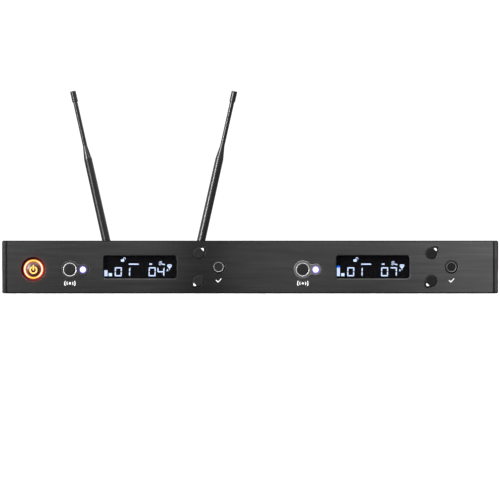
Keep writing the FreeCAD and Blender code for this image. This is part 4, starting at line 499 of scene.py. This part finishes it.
def build_materials():
    """Every material, by the name of its finish or of its one node."""
    made = {
        "anodised": brushed_anodised("anodised_panel", middle("power_light_ring")),
        "end_left": brushed_anodised("anodised_end_left"),
        # painted shade: the right end cap is a darker copy of the left one
        "end_right": brushed_anodised("anodised_end_right", tone=0.68),
        "powder": powder_coat(),
        "satin": satin_plastic(),
        "board": circuit_board(),
        "ring_light": lit_ring(),
        "power_bezel": power_bezel(),
        "power_cap": power_cap(),
        "figure": lit_mark("display_figure", (0.60, 0.72, 1.0), 2.3),
        "signal": lit_mark("display_signal", (0.0, 0.13, 0.85), 2.2),
        "symbol": lit_mark("power_symbol_light", (0.93, 0.46, 0.10), 1.0),
        "print": mottled(
            "white_print", (0.80, 0.80, 0.80), (0.90, 0.90, 0.90), cube_scale(900), (0.5, 0.65),
        ).material,
        # clear, with a smoke tint, so that lit marks behind it show
        "window": mottled(
            "smoked_window", (0.002, 0.002, 0.003), (0.004, 0.004, 0.005), (300, 300, 120), (0.05, 0.12),
            Alpha=0.30, IOR=1.49, Specular_IOR_Level=0.10,
        ).material,
        "display": mottled(
            "display", (0.003, 0.003, 0.004), (0.005, 0.005, 0.007), cube_scale(1400), (0.5, 0.65),
            0.015 * MM, 0.2 * MM, Specular_IOR_Level=0.15,
        ).material,
    }
    for name, colours in METALS.items():
        dark, light, roughness = colours
        metal = mottled(name, dark, light, cube_scale(1200), roughness, 0.006 * MM, 0.12 * MM, Metallic=1.0)
        made[name] = metal.material
    for name, colours in PLASTICS.items():
        dark, light, roughness = colours
        made[name] = mottled(name, dark, light, cube_scale(1400), roughness, 0.015 * MM, 0.2 * MM).material
    for side in SIDES:
        for button, radius in CAP_RADIUS.items():
            node = f"{button}_button_{side}"
            # painted shade: the right channel's arrow and set buttons are darker copies of the left ones
            tone = 0.009 if side == "right" and button != "sync" else 0.014
            made[node] = gloss_button(node, radius, tone)
        made[f"sync_lamp_{side}"] = sync_lamp(side)
        made[f"sync_bezel_{side}"] = sync_bezel(side)
        made[f"sync_ring_{side}"] = bright_ring(f"sync_ring_{side}", SYNC_RING, 0.68)
        # painted light: the left set ring is a lighter copy of the right one
        tone = {"left": 0.60, "right": 0.36}[side]
        made[f"set_ring_{side}"] = bright_ring(f"set_ring_{side}", SET_RING, tone)
    return made


# a star stands for left and right
NODE_FINISH = {
    "anodised": ["front_panel"],
    "end_left": ["end_cap_left"],
    "end_right": ["end_cap_right"],
    "powder": ["base_tray", "top_cover"],
    "satin": ["antenna_base_*", "whip_knuckle_*", "whip_sheath_*", "whip_tip_*"],
    "power_cap": ["power_button"],
    "power_bezel": ["power_bezel"],
    "window": ["display_lens_*"],
    "display": ["display_module_*"],
    "ring_light": ["power_light_ring"],
    "black_steel": ["cover_screws", "connector_screws"],
    "zinc": ["inner_screws", "ear_nuts", "board_standoffs"],
    "nickel": ["bushing_nuts", "bnc_jacks", "bayonet_collar_*", "hinge_pin_*"],
    "moulded": [
        "output_socket_1", "output_socket_2", "jack_socket", "power_inlet", "tact_switches", "power_switch",
    ],
    "gold": ["output_socket_pins"],
    "board": ["control_board", "main_board"],
    "chip": ["board_components"],
    "tinplate": ["tuner_shields"],
    "ribbon": ["ribbon_cable"],
    "coax": ["coax_leads"],
}
# pieces that have a material for each side
SIDED_PIECES = (
    "sync_button", "up_button", "down_button", "set_button",
    "sync_ring", "set_ring", "sync_lamp", "sync_bezel",
)


def finish_nodes(materials):
    for side in SIDES:
        for finish, names in NODE_FINISH.items():
            for name in names:
                give(NODES[name.replace("*", side)], materials[finish])
        for piece in SIDED_PIECES:
            give(NODES[f"{piece}_{side}"], materials[f"{piece}_{side}"])


def give(obj, material):
    obj.data.materials.clear()
    obj.data.materials.append(material)


# ---------------------------------------------------------------- flat marks, drawn in mm across and up
def bar(low_x, low_y, high_x, high_y):
    return [(low_x, low_y), (high_x, low_y), (high_x, high_y), (low_x, high_y)]


def turn_points(x, y, radius, start, end, steps):
    """Points along an arc about (x, y), from start to end in degrees."""
    turns = [math.radians(start + (end - start) * i / steps) for i in range(steps + 1)]
    return [(x + radius * math.cos(turn), y + radius * math.sin(turn)) for turn in turns]


def disc(x, y, radius, steps=28):
    return turn_points(x, y, radius, 0, 360, steps)[:-1]


def hoop(x, y, radius, width):
    """A whole ring: its outer outline, then its hole."""
    return [disc(x, y, radius + width / 2), disc(x, y, radius - width / 2)]


def stroke(path, width):
    """A line of a width along a path, with round ends."""
    points = [Vector(point) for point in path]
    runs = [(b - a).normalized() for a, b in zip(points, points[1:])]
    left, right = [], []
    for i, point in enumerate(points):
        before, after = runs[max(i - 1, 0)], runs[min(i, len(runs) - 1)]
        way = (before + after).normalized()
        side = Vector((-way.y, way.x)) * (width / 2 / max(way.dot(after), 0.5))
        left.append(tuple(point + side))
        right.append(tuple(point - side))
    first, last = (math.degrees(math.atan2(run.y, run.x)) for run in (runs[0], runs[-1]))
    end_cap = turn_points(*points[-1], width / 2, last + 90, last - 90, 8)[1:-1]
    start_cap = turn_points(*points[0], width / 2, first - 90, first - 270, 8)[1:-1]
    return left + end_cap + right[::-1] + start_cap


def bend(x, y, radius, width, start, end, steps=20):
    """A line of a width along an arc."""
    return stroke(turn_points(x, y, radius, start, end, steps), width)


def moved(outline, x, y, turn=0.0):
    """An outline turned about its origin and then moved."""
    c, s = math.cos(math.radians(turn)), math.sin(math.radians(turn))
    return [(x + c * u - s * v, y + s * u + c * v) for u, v in outline]


def mark_mesh(shape):
    """A thin plate. The shape is one outline, or a list of an outline and its holes."""
    curve = bpy.data.curves.new("mark", "CURVE")
    curve.dimensions = "2D"
    curve.fill_mode = "BOTH"
    curve.extrude = MARK_DEPTH / 2
    for outline in shape if isinstance(shape[0], list) else [shape]:
        spline = curve.splines.new("POLY")
        spline.points.add(len(outline) - 1)
        for point, (u, v) in zip(spline.points, outline):
            point.co = (u * MM, v * MM, 0, 1)
        spline.use_cyclic_u = True
    drawn = bpy.data.objects.new("mark", curve)
    mesh = drawn.to_mesh().copy()
    drawn.to_mesh_clear()
    bpy.data.objects.remove(drawn)
    bpy.data.curves.remove(curve)
    return mesh


def flat_mark(name, shapes, origin, material, body, facing=-1):
    """Thin marks on a face that looks along -Y (facing -1) or +Y (facing 1), as one piece."""
    plates = bmesh.new()
    for shape in shapes:
        plate = mark_mesh(shape)
        plates.from_mesh(plate)
        bpy.data.meshes.remove(plate)
    upright = Matrix.Rotation(math.radians(90), 4, "X")
    if facing > 0:
        upright = Matrix.Rotation(math.radians(180), 4, "Z") @ upright
    plates.transform(Matrix.Translation(origin) @ upright)
    mesh = bpy.data.meshes.new(name)
    plates.to_mesh(mesh)
    plates.free()
    mark = bpy.data.objects.new(name, mesh)
    bpy.context.scene.collection.objects.link(mark)
    give(mark, material)
    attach(mark, body)


# the display's characters, in mm from the window's lower left corner
DIGIT_WIDTH, DIGIT_HEIGHT, DIGIT_STROKE, DIGIT_LEAN = 5.9, 7.6, 0.95, 0.2
DIGIT_BASE = 2.0
SEGMENT_GAP = 0.12
SEGMENTS = {"0": "abcdef", "1": "bc", "4": "bcfg", "7": "abc"}


def segment(name):
    """One bar of a digit, mitred where it meets its neighbours, in mm from the digit's lower left corner."""
    wide, high, thick, gap = DIGIT_WIDTH, DIGIT_HEIGHT, DIGIT_STROKE, SEGMENT_GAP
    mid, inner = high / 2, thick + gap
    if name == "g":
        half = thick / 2
        return [
            (gap, mid), (half + gap, mid + half), (wide - half - gap, mid + half),
            (wide - gap, mid), (wide - half - gap, mid - half), (half + gap, mid - half),
        ]
    if name in "ad":
        points = [(gap, high), (wide - gap, high), (wide - inner, high - thick), (inner, high - thick)]
    else:
        foot = mid + gap + thick / 2
        points = [(wide, high - gap), (wide, mid + gap), (wide - thick, foot), (wide - thick, high - inner)]
    if name in "cde":
        points = [(u, high - v) for u, v in points]
    if name in "ef":
        points = [(wide - u, v) for u, v in points]
    return points


def digit(character, x):
    """A seven-segment digit with its lower left corner at (x, DIGIT_BASE), leaning a little to the right."""
    shapes = [segment(name) for name in SEGMENTS[character]]
    return [[(x + u + DIGIT_LEAN * v / DIGIT_HEIGHT, DIGIT_BASE + v) for u, v in shape] for shape in shapes]


def aerial_sign(holes):
    """A rounded head on a tapering stem, with holes in the head, and a small wedge at its foot."""
    head = [
        (55.5, 7.4), (55.4, 8.7), (54.4, 9.7), (53.8, 10.6), (53.9, 11.6), (54.6, 12.1), (55.3, 12.05),
        (55.75, 11.9), (56.2, 12.05), (56.9, 12.1), (57.6, 11.6), (57.7, 10.6), (57.1, 9.7), (56.1, 8.7),
        (56.0, 7.4),
    ]
    wedge = [(53.2, 6.4), (54.8, 6.4), (54.0, 8.5)]
    return [[head] + holes, wedge]


def display_figures(bar_top, last, holes):
    """Everything in white on a display: level bars, channel digits, labels and status signs."""
    shapes = [bar(0.6, 2.1, 3.2, bar_top), bar(4.2, 2.1, 7.0, 4.6)]
    shapes += digit("0", 9.3) + digit("1", 16.4) + digit("0", 38.0) + digit(last, 45.4)
    # a long label with a slanted end, and a short one
    shapes.append([(21.2, 11.75), (29.9, 11.75), (29.2, 12.75), (21.2, 12.75)])
    shapes.append([(38.6, 11.75), (40.9, 11.75), (41.1, 12.85), (38.8, 12.85)])
    # an open padlock
    lock = [(-1.1, -1.1), (1.1, -1.1), (1.45, -0.6), (1.45, 0.9), (-1.45, 0.9), (-1.45, -0.6)]
    shapes.append(moved(lock, 16.0, 15.4))
    hook = [(16.7, 16.2), (16.7, 16.8)] + turn_points(17.55, 16.9, 0.85, 180, 0, 10) + [(18.4, 16.5)]
    shapes.append(stroke(hook, 0.5))
    # a hand transmitter: a round head, its body, and waves beside it
    shapes.append(hoop(48.4, 12.9, 0.75, 0.45))
    shapes.append([(49.2, 11.9), (49.6, 12.7), (51.9, 12.3), (51.8, 11.4)])
    shapes.append(bend(48.4, 12.9, 1.65, 0.38, 60, 150))
    shapes.append(bend(48.4, 12.9, 1.65, 0.38, 195, 250))
    return shapes + aerial_sign(holes)


def build_display(side, materials):
    """The lit characters on a display's glass. The right one has a lit peak on its level bar as well."""
    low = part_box(f"display_lens_{side}")[0]
    glass_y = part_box(f"display_module_{side}")[0].y
    origin = Vector((low.x + LENS_FLANGE, glass_y - MARK_DEPTH, low.z + LENS_FLANGE))
    if side == "left":
        figures = display_figures(7.1, "4", [stroke([(54.7, 10.7), (55.75, 11.0), (56.8, 10.7)], 0.45)])
    else:
        figures = display_figures(9.3, "7", [disc(55.05, 10.8, 0.4, 12), disc(56.45, 10.8, 0.4, 12)])
    flat_mark(f"display_figures_{side}", figures, origin, materials["figure"], "root")
    if side == "right":
        peak = [bar(0.6, 9.4, 3.2, 10.9)]
        flat_mark("display_peak_right", peak, origin, materials["signal"], "root")


# ---------------------------------------------------------------- marks on buttons and panels
ARROW_INSET = 2.4 * MM
SYNC_SIGN_DROP = 11.6 * MM
SET_SIGN_DROP = 11.4 * MM


def build_power_symbol(materials):
    centre = middle("power_button")
    origin = Vector((centre.x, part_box("power_button")[0].y - MARK_LIFT, centre.z))
    shapes = [bend(0, -0.7, 2.75, 1.2, 128, 412, steps=40), stroke([(0, -0.5), (0, 3.1)], 1.2)]
    flat_mark("power_symbol", shapes, origin, materials["symbol"], "power_button")


def build_arrow_marks(materials):
    """A blunt arrowhead in each arrow button's lobe, pointing away from its middle."""
    head = [(0.8, 0.6), (0.8, -0.6), (-0.35, -1.5), (-0.8, -1.35), (-0.8, 1.35), (-0.35, 1.5)]
    inset = CAP_FLANGE + ARROW_INSET
    for way, turn in (("up", 45), ("down", 225)):
        for side in SIDES:
            name = f"{way}_button_{side}"
            low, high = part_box(name)
            x, z = (high.x - inset, high.z - inset) if way == "up" else (low.x + inset, low.z + inset)
            origin = Vector((x, low.y - MARK_LIFT, z))
            shapes = [moved(head, 0, 0, turn)]
            flat_mark(f"arrow_mark_{way}_{side}", shapes, origin, materials["print"], name)


def build_panel_marks(materials):
    """Printed signs under the sync and set buttons: a transmitter's waves, and a tick."""
    waves = [disc(0, 0, 0.95)]
    for radius in (2.55, 4.4):
        waves.append(bend(0, 0, radius, 0.75, -24, 24))
        waves.append(bend(0, 0, radius, 0.75, 156, 204))
    tick = [stroke([(-1.9, 0.1), (-0.6, -1.2), (2.1, 1.4)], 0.7)]
    for side in SIDES:
        for button, shapes, drop in (("sync", waves, SYNC_SIGN_DROP), ("set", tick, SET_SIGN_DROP)):
            place = middle(f"{button}_button_{side}")
            origin = Vector((place.x, FACE_Y - MARK_LIFT, place.z - drop))
            flat_mark(f"{button}_sign_{side}", shapes, origin, materials["print"], "root")


def numeral(number, x=0.0):
    """A plain 1 or 2, 3 mm high, with its middle at x."""
    if number == "1":
        path = [(-0.6, 0.9), (0.15, 1.4), (0.15, -1.4)]
    else:
        path = turn_points(0, 0.62, 0.8, 165, -30, 12) + [(-0.85, -1.35), (0.85, -1.35)]
    return [moved(stroke(path, 0.42), x, 0)]


def build_rear_marks(materials):
    """Printed numbers by the two outputs and the two aerials, and plain signs over the jack and the inlet."""
    beside_output = 16.5 * MM
    beside_aerial = 16 * MM
    above_socket = 12.5 * MM

    def rear_mark(name, shapes, x, z):
        origin = Vector((x, REAR_Y + MARK_LIFT, z))
        flat_mark(name, shapes, origin, materials["print"], "root", facing=1)

    for number in ("1", "2"):
        socket = middle(f"output_socket_{number}")
        rear_mark(f"output_number_{number}", numeral(number), socket.x - beside_output, socket.z)
    for number, side in (("1", "left"), ("2", "right")):
        aerial = middle(f"bayonet_collar_{side}")
        waves = [bend(0, 0, radius, 0.4, 40, 140) for radius in (1.6, 2.8)]
        shapes = [stroke([(0, -2.4), (0, 0.2)], 0.45), disc(0, 0.3, 0.5)] + waves + numeral(number, 5.2)
        rear_mark(f"aerial_sign_{side}", shapes, aerial.x + beside_aerial, aerial.z)
    jack = middle("jack_socket")
    plus = [hoop(0, 0, 1.9, 0.4), stroke([(-1, 0), (1, 0)], 0.4), stroke([(0, 0.45), (0, 1)], 0.4)]
    plus.append(stroke([(0, -1), (0, -0.45)], 0.4))
    rear_mark("mixed_output_sign", plus, jack.x, jack.z + above_socket)
    inlet = middle("power_inlet")
    polarity = [disc(0, 0, 0.6), bend(0, 0, 1.7, 0.4, -55, 235)]
    polarity += [stroke([(-5.6, 0), (-2.2, 0)], 0.35), stroke([(0.9, 0), (5.6, 0)], 0.35)]
    polarity += [hoop(-7.2, 0, 1.35, 0.35), hoop(7.2, 0, 1.35, 0.35)]
    polarity += [stroke([(-7.8, 0), (-6.6, 0)], 0.35), stroke([(6.6, 0), (7.8, 0)], 0.35)]
    rear_mark("polarity_sign", polarity, inlet.x, inlet.z + above_socket)


# ---------------------------------------------------------------- floor, light and camera
def build_stage():
    """A pale floor. It throws little light back up, so that undersides stay dark."""
    graph = Graph("floor_paper", Roughness=0.9, Specular_IOR_Level=0.1, Emission_Strength=0.35)
    pale = graph.tones(graph.noise(cube_scale(60), detail=3.0), (0.86, 0.86, 0.86), (0.90, 0.90, 0.90))
    seen = graph.add("LightPath").outputs["Is Camera Ray"]
    graph.link(graph.mixed(seen, grey(0.12), pale), "Base Color")
    graph.link(graph.mixed(seen, grey(0.0), pale), "Emission Color")
    half = 9.0
    corners = [(-half, -half, 0), (half, -half, 0), (half, half, 0), (-half, half, 0)]
    mesh = bpy.data.meshes.new("floor")
    mesh.from_pydata(corners, [], [(0, 1, 2, 3)])
    floor = bpy.data.objects.new("floor", mesh)
    bpy.context.scene.collection.objects.link(floor)
    floor.location.z = -0.2 * MM
    give(floor, graph.material)


def add_panel_light(name, place, target, size, power):
    """A rectangular soft box that faces its target, in metres and watts."""
    lamp = bpy.data.lights.new(name, "AREA")
    lamp.shape = "RECTANGLE"
    lamp.size, lamp.size_y = size
    lamp.energy = power
    light = bpy.data.objects.new(name, lamp)
    bpy.context.scene.collection.objects.link(light)
    light.location = place
    light.rotation_euler = (Vector(target) - Vector(place)).to_track_quat("-Z", "Y").to_euler()
    light.visible_camera = False


def build_world():
    """White to the camera. To everything else a soft studio, bright above and behind, dark in front."""
    world = bpy.data.worlds.new("studio")
    bpy.context.scene.world = world
    world.use_nodes = True
    tree = world.node_tree
    tree.nodes.clear()
    place = add_node(tree, "TexCoord").outputs["Generated"]
    way = add_node(tree, "SeparateXYZ", Vector=place).outputs
    behind = add_node(tree, "MapRange", Value=way["Y"], From_Min=-0.9, From_Max=0.8, To_Min=0.04, To_Max=0.75)
    above = add_node(tree, "MapRange", Value=way["Z"], From_Min=0.1, From_Max=0.9, To_Min=0.0, To_Max=0.7)
    total = add_node(tree, "Math", {"operation": "ADD"}, n0=behind.outputs[0], n1=above.outputs[0])
    studio = add_node(tree, "Background", Color=grey(1.0), Strength=total.outputs[0])
    white = add_node(tree, "Background", Color=grey(1.0), Strength=1.1)
    seen = add_node(tree, "LightPath").outputs["Is Camera Ray"]
    mixed = add_node(tree, "MixShader", n0=seen, n1=studio.outputs[0], n2=white.outputs[0])
    add_node(tree, "OutputWorld", Surface=mixed.outputs[0])


def build_lights():
    add_panel_light("strip_left", (-1.7, -1.7, 0.7), target=(-0.08, 0, 0.06), size=(0.5, 1.9), power=100)
    add_panel_light("front_high", (0.9, -1.5, 1.8), target=(0.05, 0, 0.02), size=(1.2, 0.6), power=30)
    add_panel_light("overhead", (0, -0.15, 1.9), target=(0, -0.05, 0), size=(1.8, 1.1), power=26)
    add_panel_light("behind", (0.7, 2.2, 1.1), target=(0, 0.1, 0.03), size=(1.6, 1.0), power=30)


def build_camera():
    """Square to the front, a little above its middle, far enough back for the real perspective."""
    distance = 2.5
    seen_width = 0.4230
    sideways, height = -0.13 * MM, 36.84 * MM
    camera = bpy.data.cameras.new("camera")
    camera.sensor_width = 36.0
    camera.lens = camera.sensor_width * distance / seen_width
    camera.clip_start = 0.05
    camera.clip_end = 50
    holder = bpy.data.objects.new("camera", camera)
    bpy.context.scene.collection.objects.link(holder)
    holder.location = (sideways, FACE_Y - distance, height)
    holder.rotation_euler = (math.radians(90), 0, 0)
    bpy.context.scene.camera = holder


def main():
    materials = build_materials()
    finish_nodes(materials)
    for side in SIDES:
        build_display(side, materials)
    build_power_symbol(materials)
    build_arrow_marks(materials)
    build_panel_marks(materials)
    build_rear_marks(materials)
    build_stage()
    build_world()
    build_lights()
    build_camera()
    bpy.context.scene.view_settings.view_transform = "Standard"


main()
